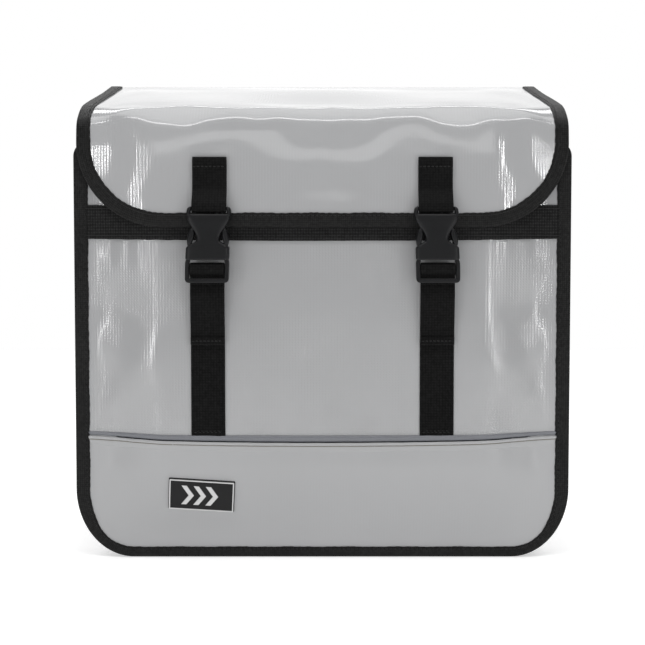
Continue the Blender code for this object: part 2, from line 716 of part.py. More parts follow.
def hook(word, x):
    """A moulded hook that slides on the rail. Its crown hangs on the rack's tube."""
    slot_in = FLANGE_Y - SLIDE_CLEARANCE
    slot_half = RAIL_FLANGE / 2 + SLIDE_CLEARANCE
    web_half = RAIL_WEB / 2 + SLIDE_CLEARANCE
    lip_y = slot_in - 0.0028
    half = slot_half + 0.0032
    crown = HOOK_REACH + HOOK_WALL
    lip = THROAT_Y + HOOK_THROAT
    corners = [
        (lip_y, -half, 0.001), (LATCH_PIVOT_Y + 0.0045, -half, 0.004),
        (LATCH_PIVOT_Y + 0.0045, -half + 0.0110, 0.002), (THROAT_Y, -half + 0.0160, 0.002),
        (THROAT_Y, HOOK_REACH, 0.0015), (lip, HOOK_REACH, 0.0015),
        (lip, 0.0060, 0.001), (lip + HOOK_WALL, 0.0040, 0.002), (lip + HOOK_WALL, crown, 0.006),
        (HOOK_BACK_Y, crown, 0.004), (HOOK_BACK_Y, half, 0), (lip_y, half, 0.001),
        (lip_y, web_half, 0), (slot_in, web_half, 0), (slot_in, slot_half, 0),
        (HOOK_BACK_Y, slot_half, 0), (HOOK_BACK_Y, -slot_half, 0), (slot_in, -slot_half, 0),
        (slot_in, -web_half, 0), (lip_y, -web_half, 0),
    ]
    outline = filleted(corners, 3)
    body = slab(f"hook_{word}", [outline], HOOK_WIDTH, "YZ", (x, 0, RAIL_HEIGHT), "buckle_plastic")
    way = block(
        f"hook_{word}_latch_way", (LATCH_WIDTH + 0.0008, 0.030, 0.034),
        (x, THROAT_Y + 0.015 + GAP, LATCH_PIVOT_Z - 0.002),
    )
    boolean(body, way)
    hole = rod(f"hook_{word}_pin_hole", PIN_RADIUS + GAP, 0.1, (x, LATCH_PIVOT_Y, LATCH_PIVOT_Z), (1, 0, 0))
    boolean(body, hole)
    pivot = (x, LATCH_PIVOT_Y, LATCH_PIVOT_Z)
    rod(f"latch_pin_{word}", PIN_RADIUS, HOOK_WIDTH, pivot, (1, 0, 0), "steel", 12)
    tongue = lip + HOOK_WALL + LATCH_TAB - LATCH_PIVOT_Y
    latch_corners = filleted([
        (-0.0030, -0.0030, 0.0026), (0.0030, -0.0034, 0.0026), (tongue - 0.0010, 0.0045, 0.0015),
        (tongue, 0.0085, 0.0015), (tongue - 0.0040, 0.0095, 0.0020), (0.0040, 0.0088, 0.0030),
        (-0.0030, 0.0036, 0.0026),
    ], 3)
    latch = slab(
        f"hook_latch_{word}", [latch_corners], LATCH_WIDTH, "YZ", (x, LATCH_PIVOT_Y, LATCH_PIVOT_Z),
        "buckle_plastic",
    )
    boolean(latch, hole)


def claw(panel, board):
    """A swivelling claw low on the back, which hooks behind the rack's leg."""
    plate_y = BACK_FACE_Y + 0.0015
    base = rod("claw_base", 0.018, 0.003, (CLAW_X, plate_y, CLAW_HEIGHT), (0, 1, 0), "buckle_plastic", 28)
    arm_y = plate_y + 0.0015 + GAP
    thick = 0.0042
    boss = 0.011
    head_at = arm_y + thick
    tip = CLAW_LENGTH
    profile = filleted([
        (0, boss, 0.009), (-boss, boss, 0.006), (-boss, -boss, 0.006), (-0.0070, -tip, 0.003),
        (0.0070, -tip, 0.003), (boss, -boss, 0.006), (boss, boss, 0.006),
    ], 3)
    arm = slab(
        "claw_arm", [profile], thick, "XZ", (CLAW_X, arm_y + thick / 2, CLAW_HEIGHT), "buckle_plastic"
    )
    hook_profile = filleted([
        (arm_y + thick - 0.001, -tip + 0.0002, 0), (arm_y + 0.020, -tip + 0.0002, 0.003),
        (arm_y + 0.020, -tip + 0.022, 0.002), (arm_y + 0.0155, -tip + 0.022, 0.002),
        (arm_y + 0.0155, -tip + 0.0048, 0.003), (arm_y + thick - 0.001, -tip + 0.0048, 0),
    ], 3)
    finger = slab("claw_finger", [hook_profile], 0.0120, "YZ", (CLAW_X, 0, CLAW_HEIGHT))
    boolean(arm, finger, "UNION")
    hole = rod("claw_screw_hole", SCREW_RADIUS + GAP, 0.1, (CLAW_X, BACK_Y, CLAW_HEIGHT), (0, 1, 0))
    for obj in (base, arm, panel, board):
        boolean(obj, hole)
    screw_and_nut("claw_screw", "claw_nut", CLAW_X, CLAW_HEIGHT, head_at, BOARD_Y - BOARD / 2)


clear_scene()
PARTS = new_collection("pannier_bag")
CUTTERS = new_collection("cutters")
front_panels()
gusset()
back, stiffener = back_panel()
bindings()
flap()
for side_word, strap_x in (("left", -STRAP_X), ("right", STRAP_X)):
    upper_strap(side_word, strap_x)
    socket(side_word, strap_x)
    clip(side_word, strap_x)
    for prong_side in (-1, 1):
        prong(side_word, strap_x, prong_side)
    lower_strap(side_word, strap_x)
badge()
rail_and_screws(back, stiffener)
for side_word, hook_x in (("left", -HOOK_X), ("right", HOOK_X)):
    hook(side_word, hook_x)
claw(back, stiffener)
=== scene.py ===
# %% [markdown]
# # A pannier bag of coated fabric
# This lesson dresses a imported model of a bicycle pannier: a stiff, glossy, boxy bag whose edges are bound
# with black tape, with a lid flap held down by two buckled straps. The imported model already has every
# piece in its place and knows how the moving ones move, so each new surface is laid where it says.

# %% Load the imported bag
import math

import bpy
import numpy as np
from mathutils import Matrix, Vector


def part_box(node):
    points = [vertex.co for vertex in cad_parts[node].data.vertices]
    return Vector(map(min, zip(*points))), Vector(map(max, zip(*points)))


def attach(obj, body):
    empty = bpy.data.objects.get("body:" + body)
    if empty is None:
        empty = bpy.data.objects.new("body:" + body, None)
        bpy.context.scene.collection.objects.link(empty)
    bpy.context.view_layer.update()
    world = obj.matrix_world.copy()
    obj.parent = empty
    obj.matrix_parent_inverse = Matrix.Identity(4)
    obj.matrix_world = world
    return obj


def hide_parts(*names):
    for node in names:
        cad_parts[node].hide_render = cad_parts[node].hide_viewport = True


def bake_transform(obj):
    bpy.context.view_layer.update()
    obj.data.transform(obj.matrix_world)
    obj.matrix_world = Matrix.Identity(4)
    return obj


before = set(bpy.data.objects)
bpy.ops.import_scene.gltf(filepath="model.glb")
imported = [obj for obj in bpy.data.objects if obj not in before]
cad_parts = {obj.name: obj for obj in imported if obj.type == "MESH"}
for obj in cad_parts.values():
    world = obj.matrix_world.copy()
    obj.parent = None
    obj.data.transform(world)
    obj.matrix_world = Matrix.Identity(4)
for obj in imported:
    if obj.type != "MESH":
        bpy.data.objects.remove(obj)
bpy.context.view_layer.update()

# %% [markdown]
# ## Sizes
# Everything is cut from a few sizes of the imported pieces: the planes of the front and back edges, the
# width over the bindings, and how far the filled front stands proud of its own edge.

# %% Read the sizes
def corners(node):
    """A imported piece's lowest and highest corners."""
    low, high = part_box(node)
    return np.array(low), np.array(high)


def middle(node, axis):
    """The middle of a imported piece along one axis."""
    low, high = corners(node)
    return float(low[axis] + high[axis]) / 2


SHEET = 0.0012  # thickness of the coated cloth
GAP = 0.0003  # air between two pieces that pass each other
TAPE_WIDTH = 0.0105  # binding tape, from its fold to its edge
TAPE_HALF = 0.0018  # half the thickness of a bound edge
EDGE_CORNER = 0.043  # width of a bound edge's lower corners
CORNER_TALL = 1.2  # their height over their width
ROUNDING = 0.062  # the way from its edge over which the front rises to its fullness
WEBBING = 0.0012  # thickness of the straps
WEBBING_WIDTH = 0.025
STITCH_PITCH = 0.0032
FRONT_Y = middle("front_edge_binding", 1)
BACK_Y = middle("back_edge_binding", 1)
EDGE_HALF = float(corners("front_edge_binding")[1][0])
FRONT_TOP = float(corners("front_edge_binding")[1][2])
BACK_TOP = float(corners("back_edge_binding")[1][2])
PANEL_HALF = float(corners("front_upper_panel")[1][0])
PANEL_LOW = float(corners("front_lower_panel")[0][2])
FULLNESS = FRONT_Y - float(corners("front_upper_panel")[0][1]) - SHEET / 2
STRAP_X = middle("upper_strap_right", 0)
SIDES = (("left", -STRAP_X), ("right", STRAP_X))
print(f"front {FRONT_Y:.4f}, back {BACK_Y:.4f}, fullness {FULLNESS:.4f}, strap {STRAP_X:.4f}")

# %% [markdown]
# ## Grids into meshes
# Each surface is a grid of points worked out for the whole array at once. A grid turns into faces by
# joining each point to the next one along both ways. A cloth gets its thickness by making the grid twice,
# half a thickness to each side along its own normals, and closing the rim between the two.

# %% Faces of grids and tubes
def grid_faces(rows, columns, close_rows=False, close_columns=False):
    """Quads joining point (r, c) to (r, c+1), (r+1, c+1) and (r+1, c), wrapping where a way is closed."""
    r, c = np.meshgrid(
        np.arange(rows if close_rows else rows - 1),
        np.arange(columns if close_columns else columns - 1), indexing="ij",
    )
    after_r, after_c = (r + 1) % rows, (c + 1) % columns
    quads = [r * columns + c, r * columns + after_c, after_r * columns + after_c, after_r * columns + c]
    return np.stack(quads, -1).reshape(-1, 4)
def tube_faces(rings, around, closed=False):
    """Faces of equal rings joined into a tube: a grid closed round each ring, with a cap at both ends."""
    faces = grid_faces(rings, around, close_rows=closed, close_columns=True).tolist()
    if not closed:
        last = (rings - 1) * around
        faces += [list(range(around))[::-1], [last + i for i in range(around)]]
    return faces


# %% Sheets with a thickness
def unit(vectors):
    """Each vector divided by its own length."""
    return vectors / np.maximum(np.linalg.norm(vectors, axis=-1, keepdims=True), 1e-12)


def closed_sheet(front, back):
    """Two grids as one closed skin: the faces of both, and a rim that joins their outer points."""
    rows, columns, _ = front.shape
    face = grid_faces(rows, columns)
    count = rows * columns
    index = np.arange(count).reshape(rows, columns)
    loop = np.concatenate([index[0, :-1], index[:-1, -1], index[-1, :0:-1], index[:0:-1, 0]])
    after = np.roll(loop, -1)
    rim = np.stack([after, loop, loop + count, after + count], -1)
    both = np.concatenate([front.reshape(-1, 3), back.reshape(-1, 3)])
    return both, np.concatenate([face, face[:, ::-1] + count, rim])


def thick_sheet(points, thickness):
    """The grid twice, half a thickness along the normal (the cross product of the two ways) to each side."""
    normal = unit(np.cross(np.gradient(points, axis=1), np.gradient(points, axis=0)))
    return closed_sheet(points + normal * thickness / 2, points - normal * thickness / 2)


def both_faces(across, along):
    """The place on the cloth of each point of a grid, written once for each face of the sheet."""
    ways = np.stack(np.broadcast_arrays(across, along), -1).reshape(-1, 2)
    return np.concatenate([ways, ways])


# %% Making an object
def joined(*parts):
    """Several (points, faces) as one, with each part's faces counted on from the last part's points."""
    points, faces, start = [], [], 0
    for part_points, part_faces in parts:
        points.append(part_points.reshape(-1, 3))
        faces.extend((np.asarray(face) + start).tolist() for face in part_faces)
        start += len(points[-1])
    return np.concatenate(points), faces


def make(name, points, faces, finish, slot, body, replaces=(), uv=None, sharp=None):
    """A mesh object from points, faces and a place on the cloth for each point, riding on a body if any."""
    mesh = bpy.data.meshes.new(name)
    face_lists = faces if isinstance(faces, list) else faces.tolist()
    mesh.from_pydata(np.asarray(points).reshape(-1, 3), [], face_lists)
    if uv is not None:
        corner = np.empty(len(mesh.loops), int)
        mesh.loops.foreach_get("vertex_index", corner)
        layer = mesh.uv_layers.new(name="cloth")
        layer.data.foreach_set("uv", np.asarray(uv, float).reshape(-1, 2)[corner].ravel())
    mesh.materials.append(finish)
    mesh.shade_smooth()
    if sharp is not None:
        mesh.set_sharp_from_angle(angle=math.radians(sharp))
    obj = bpy.data.objects.new(name, mesh)
    bpy.context.scene.collection.objects.link(obj)
    if body:
        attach(obj, body)
    if replaces:
        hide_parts(*replaces)
    print(f"{name}: {len(mesh.vertices)} points, {len(mesh.polygons)} faces")
    return obj


# %% [markdown]
# ## Finishes
# A finish is one Principled shader with the nodes that vary it. Sums in Python add the Math nodes, so the
# patterns read as formulas. Whatever is the same all over is a number on the shader itself.

# %% Sums of nodes
class Value:
    """A node's output that takes part in Python sums, each of which adds the Math node for it."""

    def __init__(self, tree, socket):
        self.tree, self.socket = tree, socket

    def out(self, name):
        return Value(self.tree, self.socket.node.outputs[name])

    def maths(self, operation, *values):
        node = self.tree.nodes.new("ShaderNodeMath")
        node.operation = operation
        for slot, value in zip(node.inputs, values):
            fill(self.tree, slot, value)
        return Value(self.tree, node.outputs[0])

    def __add__(self, other):
        return self.maths("ADD", self, other)

    def __sub__(self, other):
        return self.maths("SUBTRACT", self, other)

    def __mul__(self, other):
        return self.maths("MULTIPLY", self, other)

    def __rsub__(self, other):
        return self.maths("SUBTRACT", other, self)

    __radd__, __rmul__ = __add__, __mul__

    def sine(self):
        return self.maths("SINE", self)

    def absolute(self):
        return self.maths("ABSOLUTE", self)

    def power(self, other):
        return self.maths("POWER", self, other)


def fill(tree, slot, value):
    """Links a value to a node's input, or sets the input to a plain number."""
    if isinstance(value, Value):
        tree.links.new(value.socket, slot)
    else:
        slot.default_value = value


# %% One finish
class Finish:
    """A Principled material. Keywords are the shader's own sockets, with _ for a space."""

    def __init__(self, name, **sockets):
        self.material = bpy.data.materials.new(name)
        self.material.use_nodes = True
        self.tree = self.material.node_tree
        self.shader = self.tree.nodes["Principled BSDF"]
        for socket, value in sockets.items():
            self.shader.inputs[socket.replace("_", " ")].default_value = value

    def node(self, kind, settings=None, inputs=None):
        node = self.tree.nodes.new("ShaderNode" + kind)
        for setting, value in (settings or {}).items():
            setattr(node, setting, value)
        for slot, value in (inputs or {}).items():
            fill(self.tree, node.inputs[slot], value)
        return Value(self.tree, next(o for o in node.outputs if o.enabled))

    def noise(self, scale, detail=3.0, stretch=(1, 1, 1)):
        place = self.node("TexCoord").out("Object")
        place = self.node("Mapping", {}, {"Vector": place, "Scale": stretch})
        return self.node("TexNoise", {}, {"Vector": place, "Scale": scale, "Detail": detail})

    def cloth_ways(self):
        """Distance across and along the cloth, in metres, from the piece's own UV map."""
        ways = self.node("SeparateXYZ", {}, {"Vector": self.node("TexCoord").out("UV")})
        return ways.out("X"), ways.out("Y")

    def feed(self, socket, value):
        """Links what varies over the surface to one of the shader's sockets."""
        fill(self.tree, self.shader.inputs[socket], value)

    def colour(self, low, high, share):
        mixed = self.node(
            "Mix", {"data_type": "RGBA"}, {"Factor": share, 6: (*low, 1), 7: (*high, 1)}
        )
        self.feed("Base Color", mixed)

    def relief(self, height):
        """Bump from a height in metres."""
        bump = self.node("Bump", {}, {"Strength": 1.0, "Distance": 1.0, "Height": height})
        self.feed("Normal", bump)


# %% [markdown]
# ## The coated fabric
# The cloth is a woven scrim between two layers of soft plastic. The plastic is glossy, and the threads of
# the scrim show through it as fine upright ribs with weaker cross ribs, about two millimetres apart. The
# ribs break every highlight into a comb, so they are in the relief and not in the colour. The lid's cloth
# is smoother and glossier than the front's, and the lower panel's is duller. Each copy's grey is also
# scaled as painted light: brighter on the lid, darker on the front and the lower panel.

# %% The coated fabric's finish
RIB = 2 * math.pi / 0.0022
CROSS_RIB = 2 * math.pi / 0.0020
PALE_GREY, DEEPER_GREY = 0.405, 0.365


def coated_fabric(name, ribs, roughness, dots, painted_brightness):
    """Relief: a sine across times a sine along, stronger in patches, plus a faint cloud of dents.
    ribs is its height in metres, and dots how much the two sines multiply instead of standing alone."""
    finish = Finish(name, Specular_IOR_Level=0.85)
    across, along = finish.cloth_ways()
    cloud = finish.noise(9.0, 3.0)
    patch = finish.noise(26.0, 2.0)
    rib = (across * RIB).sine() * ribs
    cross = (along * CROSS_RIB).sine()
    strong = patch.power(3.0) * 5.0 + 0.15
    finish.relief(rib * strong * (cross * dots + 0.9) + cross * (ribs * dots * 0.3) + cloud * 0.0004)
    # each panel's greys are scaled by its last number: painted light and shade, not a tone of the cloth
    light, dark = [(c * painted_brightness, c * painted_brightness * 1.006, c * painted_brightness * 1.024) for c in (PALE_GREY, DEEPER_GREY)]
    finish.colour(dark, light, cloud)
    finish.feed("Roughness", patch * 0.08 + roughness)
    return finish.material


# one fabric in three copies: the lid's is painted brighter, and the front's and lower panel's darker, as
# painted light and shade
TARPAULIN = coated_fabric("coated_fabric", 0.000034, roughness=0.07, dots=0.8, painted_brightness=0.95)
LID_TARPAULIN = coated_fabric("coated_fabric_lid", 0.000019, roughness=0.035, dots=0.2, painted_brightness=1.02)
LOWER_TARPAULIN = coated_fabric("coated_fabric_lower", 0.000008, roughness=0.27, dots=0.35, painted_brightness=0.94)
print("coated fabrics made")

# %% [markdown]
# ## Tape, webbing, thread and plastic
# Binding tape is a ribbed ribbon, and webbing a thick plain weave: both are black polyester, which
# scatters light and hardly shines. The buckles are moulded in black plastic with a fine matt grain.

# %% Black finishes
def woven(name, black, across_step, along_step, depth, roughness=0.7, gloss=0.14, dots=0.25):
    """A weave with a raised dot at each crossing: the product of two sines' sizes, one thread apart. The
    dots are painted paler, a painted highlight on the raised threads; with fuzz and wear, which are noises,
    that lifts the colour from a fifth of the black towards seven times it."""
    finish = Finish(name, Specular_IOR_Level=gloss, Sheen_Weight=0.03, Sheen_Roughness=0.5)
    across, along = finish.cloth_ways()
    one = (across * (math.pi / across_step)).sine().absolute()
    other = (along * (math.pi / along_step)).sine().absolute()
    over = one * other
    fuzz = finish.noise(480.0, 2.0)
    finish.relief(over * depth + fuzz * (depth * 1.6))
    worn = finish.noise(30.0, 4.0)
    low, high = [tuple(c * k for c in black) for k in (0.2, 7.0)]
    # the raised crossings are painted paler by dots: a painted highlight on the threads' tops; fuzz and wear
    # vary it at random
    finish.colour(low, high, over * (dots * 0.6) + worn * 0.2 + (fuzz * 0.8 - 0.45))
    finish.feed("Roughness", fuzz * 0.2 + (roughness - 0.1))
    return finish.material


def moulded(name, colour, roughness, gloss=0.4):
    """Grained plastic: a very fine noise in the relief, and a slow one in the colour and roughness."""
    finish = Finish(name, Specular_IOR_Level=gloss)
    grain = finish.noise(1800.0, 2.0)
    cloud = finish.noise(60.0, 3.0)
    finish.relief(grain * 0.000012)
    finish.colour(tuple(c * 0.85 for c in colour), tuple(c * 1.15 for c in colour), cloud)
    finish.feed("Roughness", cloud * 0.1 + (roughness - 0.05))
    return finish.material


TAPE = woven("binding_tape", (0.0048, 0.0048, 0.0047), 0.0016, 0.0015, 0.00009, 0.55, gloss=0.17, dots=0.6)
STRAP = woven("webbing", (0.0026, 0.0026, 0.0026), 0.0021, 0.0019, 0.00009, gloss=0.10, dots=0.5)
MOUTH_WEBBING = woven("coarse_webbing", (0.0050, 0.0050, 0.0050), 0.0022, 0.0020, 0.00016, dots=1.0)
BUCKLE = moulded("buckle_plastic", (0.0058, 0.0060, 0.0068), 0.36, gloss=0.26)
BOARD = moulded("stiffener_board", (0.02, 0.02, 0.02), 0.6)
BLACK_THREAD = moulded("black_thread", (0.012, 0.012, 0.012), 0.5, gloss=0.25)
PALE_THREAD = moulded("pale_thread", (0.17, 0.16, 0.135), 0.65)
print("black finishes made")

# %% Metal and reflective finishes
def metal(name, colour, roughness):
    """Brushed metal: a noise drawn out along X, in the colour, the roughness and the relief."""
    finish = Finish(name, Metallic=1.0)
    brushed = finish.noise(400.0, 2.0, (0.04, 1, 1))
    finish.colour(tuple(c * 0.9 for c in colour), colour, brushed)
    finish.feed("Roughness", brushed * 0.15 + (roughness - 0.07))
    finish.relief(brushed * 0.00001)
    return finish.material


ANODISED = metal("anodised_rail", (0.45, 0.45, 0.46), 0.4)
STEEL = metal("zinc_plate", (0.6, 0.6, 0.58), 0.3)


def reflective():
    """Reflective tape is a mat of tiny glass beads, seen as a fine silver grain."""
    finish = Finish("reflective_tape", Specular_IOR_Level=0.6)
    beads = finish.noise(2600.0, 1.0)
    finish.colour((0.100, 0.103, 0.114), (0.215, 0.223, 0.245), beads)
    finish.relief(beads * 0.00002)
    finish.feed("Roughness", beads * 0.2 + 0.3)
    return finish.material


REFLECTIVE = reflective()
print("metals and reflective tape made")

# %% [markdown]
# ## The filled front
# The front panels are flat cloth held at a bound edge and pushed out from inside. Their surface is the
# edge's plane plus a fullness that rises smoothly from the edge to a flat middle, plus small folds: upright
# waves near the sides, and puckers that hang from the sewn webbing and die away below it.

# %% Easing, and the seam's line
def ease(t):
    """0 to 1 with no slope at either end: 3t squared less 2t cubed."""
    t = np.clip(t, 0.0, 1.0)
    return t * t * (3 - 2 * t)


def bell(value, centre, width):
    """1 at the centre, falling away as exp(-d squared), d in widths."""
    return np.exp(-(((value - centre) / width) ** 2))


BAND_LOW = float(corners("mouth_webbing")[0][2])
SEAM_Z = float(corners("reflective_piping")[0][2]) + 0.0022  # the piping's middle, halfway across
SEAM_LIFT = 0.0022  # how much higher the seam is at the sides
HELD = 0.02  # the way from a bound edge over which folds begin


def seam_height(x):
    """The seam's height: lowest in the middle, rising with the square of the way to the side."""
    return SEAM_Z + SEAM_LIFT * (x / PANEL_HALF) ** 2


def piping_size(x):
    """Half the piping's height: fattest in the middle, falling with the square of the way to the side."""
    return 0.0026 - 0.0011 * (x / PANEL_HALF) ** 2


# %% The front's folds
def front_folds(x, z):
    """Sines, each kept to its place by a bell or a falling power: upright waves near the sides, puckers
    below the webbing and at the seam, and soft dents all over."""
    side = np.abs(x)
    waves = 0.0008 * np.sin(z * 71 + side * 30) * bell(side, 0.142, 0.020)
    waves += 0.0007 * np.sin(z * 118 + 1.3) * bell(side, 0.160, 0.010)
    below = np.clip(BAND_LOW - z, 0, 1)
    puckers = 0.00055 * np.sin(side * 430) * np.exp(-below / 0.016) * ease((side - 0.09) / 0.03)
    puckers *= ease(below / 0.004)
    from_seam = np.abs(z - seam_height(x))
    puckers += 0.00022 * np.sin(x * 260 + np.sin(x * 90)) * np.exp(-from_seam / 0.02)
    soft = 0.0007 * np.sin(x * 21 + 0.6) * np.sin(z * 27 + 1.1)
    return waves + puckers + soft


# %% Places on a surface
def front_surface(x, z):
    """The plane of the edge, less the fullness (a product of two eases) and the folds."""
    from_side = PANEL_HALF - np.abs(x)
    above = z - PANEL_LOW
    rise = ease(from_side / ROUNDING) * ease(above / ROUNDING)
    held = ease(from_side / HELD) * ease(above / HELD) * ease((FRONT_TOP - z) / HELD)
    y = FRONT_Y - FULLNESS * rise - front_folds(x, z) * held
    return np.stack(np.broadcast_arrays(x, y, z), -1)


def lifted(surface, a, b, height):
    """Points over a surface: its point at (a, b) plus height times its unit normal there."""
    step = 0.0003
    across = surface(a + step, b) - surface(a - step, b)
    along = surface(a, b + step) - surface(a, b - step)
    return surface(a, b) + np.asarray(height)[..., None] * unit(np.cross(across, along))


def crowded(count, ends=0.35):
    """-1 to 1, with the points closer together towards both ends."""
    t = np.linspace(-1, 1, count)
    return (1 - ends) * t + ends * np.sin(t * math.pi / 2)


print("front surface at the middle:", front_surface(np.array(0.0), np.array(0.2)))

# %% The two front panels
UNDER_TAPE = 0.0065  # how far a panel runs on under its binding
CUT_LOW = PANEL_LOW - UNDER_TAPE
CUT_HALF = PANEL_HALF + UNDER_TAPE
CUT_CORNER = EDGE_CORNER - TAPE_WIDTH + UNDER_TAPE


def cut_half(z):
    """Half width of a panel as cut: its lower corners are quarter ellipses, a little taller than wide."""
    rise = np.clip(1 - (z - CUT_LOW) / (CUT_CORNER * CORNER_TALL), 0, 1)
    return CUT_HALF - CUT_CORNER * (1 - np.sqrt(1 - rise**2))


def lower_panel_top(x):
    """Just below the piping, and up behind it towards the sides, where the tape would show a gap."""
    return seam_height(x) - (piping_size(x) + 0.0005) * (1 - ease((np.abs(x) - 0.152) / 0.006))


def rounded_rows(count):
    """Shares of the way up, crowded towards the bottom: 1 less a cosine over a quarter turn."""
    return 1 - np.cos(np.linspace(0, 1, count)[:, None] * math.pi / 2)


def front_panel(name, x, z, finish):
    """Cloth over a grid of places on the front surface."""
    points, faces = thick_sheet(front_surface(x, z), SHEET)
    make(name, points, faces, finish, "tarpaulin", "bag", [name], both_faces(x, z))


across = crowded(190)[None, :]
x = across * CUT_HALF
low = seam_height(x) + 0.0006
share = np.linspace(0, 1, 170)[:, None]
front_panel("front_upper_panel", x, low + (FRONT_TOP - 0.006 - low) * share, TARPAULIN)

share = rounded_rows(90)
x = across * cut_half(CUT_LOW + (SEAM_Z - CUT_LOW) * share)
front_panel("front_lower_panel", x, CUT_LOW + (lower_panel_top(x) - CUT_LOW) * share, LOWER_TARPAULIN)

# %% [markdown]
# ## Tubes, tapes and stitches
# Three helpers make everything long and thin. A tube carries an oval along a path. A tape carries a closed
# profile, given as reach across and height, along an edge that lies on a surface, so it follows every
# fold. A row of stitches repeats one small bean-shaped thread along a line.

# %% Long thin things
def carried(path, side, up, profile, closed=False):
    """Each point of the profile (across, height) at each point of the path, along side and up there."""
    across, height = np.moveaxis(np.broadcast_to(profile, (len(path),) + profile.shape[-2:]), -1, 0)
    points = path[:, None] + side[:, None] * across[..., None] + up[:, None] * height[..., None]
    return points, tube_faces(len(path), profile.shape[-2], closed)


def oval(across, height, count=12):
    """A closed oval profile: across times cos, height times sin."""
    turn = np.linspace(0, 2 * math.pi, count, endpoint=False)
    return np.stack([across * np.cos(turn), height * np.sin(turn)], -1)


def rounded_box(half_across, half_height, rounding, per_corner=4):
    """A closed rectangle profile with quarter-round corners."""
    quarter = np.linspace(0, math.pi / 2, per_corner)
    points = []
    for k, (sx, sz) in enumerate(((1, 1), (-1, 1), (-1, -1), (1, -1))):
        turn = quarter + k * math.pi / 2
        centre = np.array([sx * (half_across - rounding), sz * (half_height - rounding)])
        points.append(centre + rounding * np.stack([np.cos(turn), np.sin(turn)], -1))
    return np.concatenate(points)


# %% Paths
def frames(path, side):
    """Unit ways across and up for a path: side made square to the path, and their cross product."""
    tangent = unit(np.gradient(path, axis=0))
    side = unit(side - tangent * (side * tangent).sum(-1, keepdims=True))
    return side, unit(np.cross(side, tangent))


def lengths(path):
    """The length walked up to each point of a path: the sum of its steps so far."""
    return np.concatenate([[0], np.cumsum(np.linalg.norm(np.diff(path, axis=0), axis=1))])


def spaced(path, step):
    """The path walked again in equal steps, by interpolating along its length."""
    length = lengths(path)
    count = max(int(round(length[-1] / step)), 2) + 1
    even = np.linspace(0, length[-1], count)
    return np.stack([np.interp(even, length, path[:, k]) for k in range(path.shape[1])], -1)


def rounded_path(points, step=0.0008, passes=6):
    """A path through points, walked in small steps and smoothed by averaging each with its neighbours."""
    path = spaced(np.asarray(points, float), step)
    for _ in range(passes):
        path[1:-1] = (path[:-2] + 2 * path[1:-1] + path[2:]) / 4
    return path


# %% Tapes
def fold_profile(width, half, inner=0.0007):
    """A tape folded over an edge: in from the face, round the edge and back along the other face."""
    turn = np.linspace(math.pi / 2, 3 * math.pi / 2, 9)
    nose = np.stack([half + half * np.cos(turn), half * np.sin(turn)], -1)
    front = [
        (width, inner), (width, half * 0.72), (width - 0.0006, half * 0.98), (width - 0.0016, half * 0.9),
        (width * 0.62, half * 1.04), (width * 0.4, half),
    ]
    back = [(a, -b) for a, b in reversed(front)]
    return np.concatenate([front, nose, back])


def tape_on(surface, path, inward, profile, uneven=0.0, share=1.0):
    """The profile's reach runs from the edge inwards over the surface, and its height along the normal.
    share narrows the reach, and may change along the path."""
    run = lengths(path)
    reach, height = profile.T
    # each stitch draws the tape in a little, and a hand at the machine lets it wander
    wander = np.sin(run * 150) + 0.6 * np.sin(run * 390 + 1.0)
    wander += 0.8 * np.sin(run * 1130 + 3 * np.sin(run * 97))
    wander = 1 + uneven * wander[:, None]
    pinch = 1 - 0.045 * np.abs(np.sin(run * (math.pi / STITCH_PITCH)))[:, None]
    reach = np.where(reach > TAPE_WIDTH * 0.5, reach * wander, reach)
    reach = reach * np.broadcast_to(share, run.shape)[:, None]
    a = path[:, None, 0] + inward[:, None, 0] * reach
    b = path[:, None, 1] + inward[:, None, 1] * reach
    points = lifted(surface, a, b, height * pinch)
    uv = np.stack(np.broadcast_arrays(lengths(profile)[None, :], run[:, None]), -1)
    return points, tube_faces(len(path), len(profile)), uv


# %% Stitches
STITCH_RINGS, STITCH_ROUND = 5, 6


def stitches(points, normals, length=0.0022, pitch=STITCH_PITCH, radius=0.00022):
    """Thread laid along a line in separate stitches: an oval carried along a low arch, repeated."""
    even = spaced(np.concatenate([points, normals], -1), pitch)
    place, up = even[:, :3], unit(even[:, 3:])
    along = unit(np.gradient(place, axis=0))
    side = np.cross(along, up)
    share = np.linspace(-1, 1, STITCH_RINGS)
    size = radius * np.sqrt(np.clip(1.05 - share**2, 0, 1))
    turn = np.linspace(0, 2 * math.pi, STITCH_ROUND, endpoint=False)
    lift = 0.00012 * (1 - share**2)
    local = [
        np.broadcast_to((share * length / 2)[:, None], (STITCH_RINGS, STITCH_ROUND)),
        size[:, None] * np.cos(turn) * 1.25,
        size[:, None] * np.sin(turn) + lift[:, None],
    ]
    ways = zip((along, side, up), local)
    cloud = sum(way[:, None, None] * part[None, ..., None] for way, part in ways) + place[:, None, None]
    one = tube_faces(STITCH_RINGS, STITCH_ROUND)
    starts = np.arange(len(place))[:, None, None] * STITCH_RINGS * STITCH_ROUND
    sides = (np.array(one[:-2])[None] + starts).reshape(-1, 4)
    ends = (np.array(one[-2:])[None] + starts).reshape(-1, STITCH_ROUND)
    return cloud.reshape(-1, 3), sides.tolist() + ends.tolist()


def stitched_line(surface, a, b, height, **kind):
    """Stitches along a line given in a surface's own coordinates."""
    points = lifted(surface, a, b, np.full(np.shape(a), height))
    over = lifted(surface, a, b, np.full(np.shape(a), height + 0.001))
    return stitches(points, unit(over - points), **kind)


print("helpers for tubes, tapes and stitches ready")

# %% [markdown]
# ## The seam across the front
# The lower panel's top edge is turned under and top-stitched, and a strip of reflective tape folded over a
# cord is caught in the seam above it. The piping is fattest in the middle and pinched towards the sides.

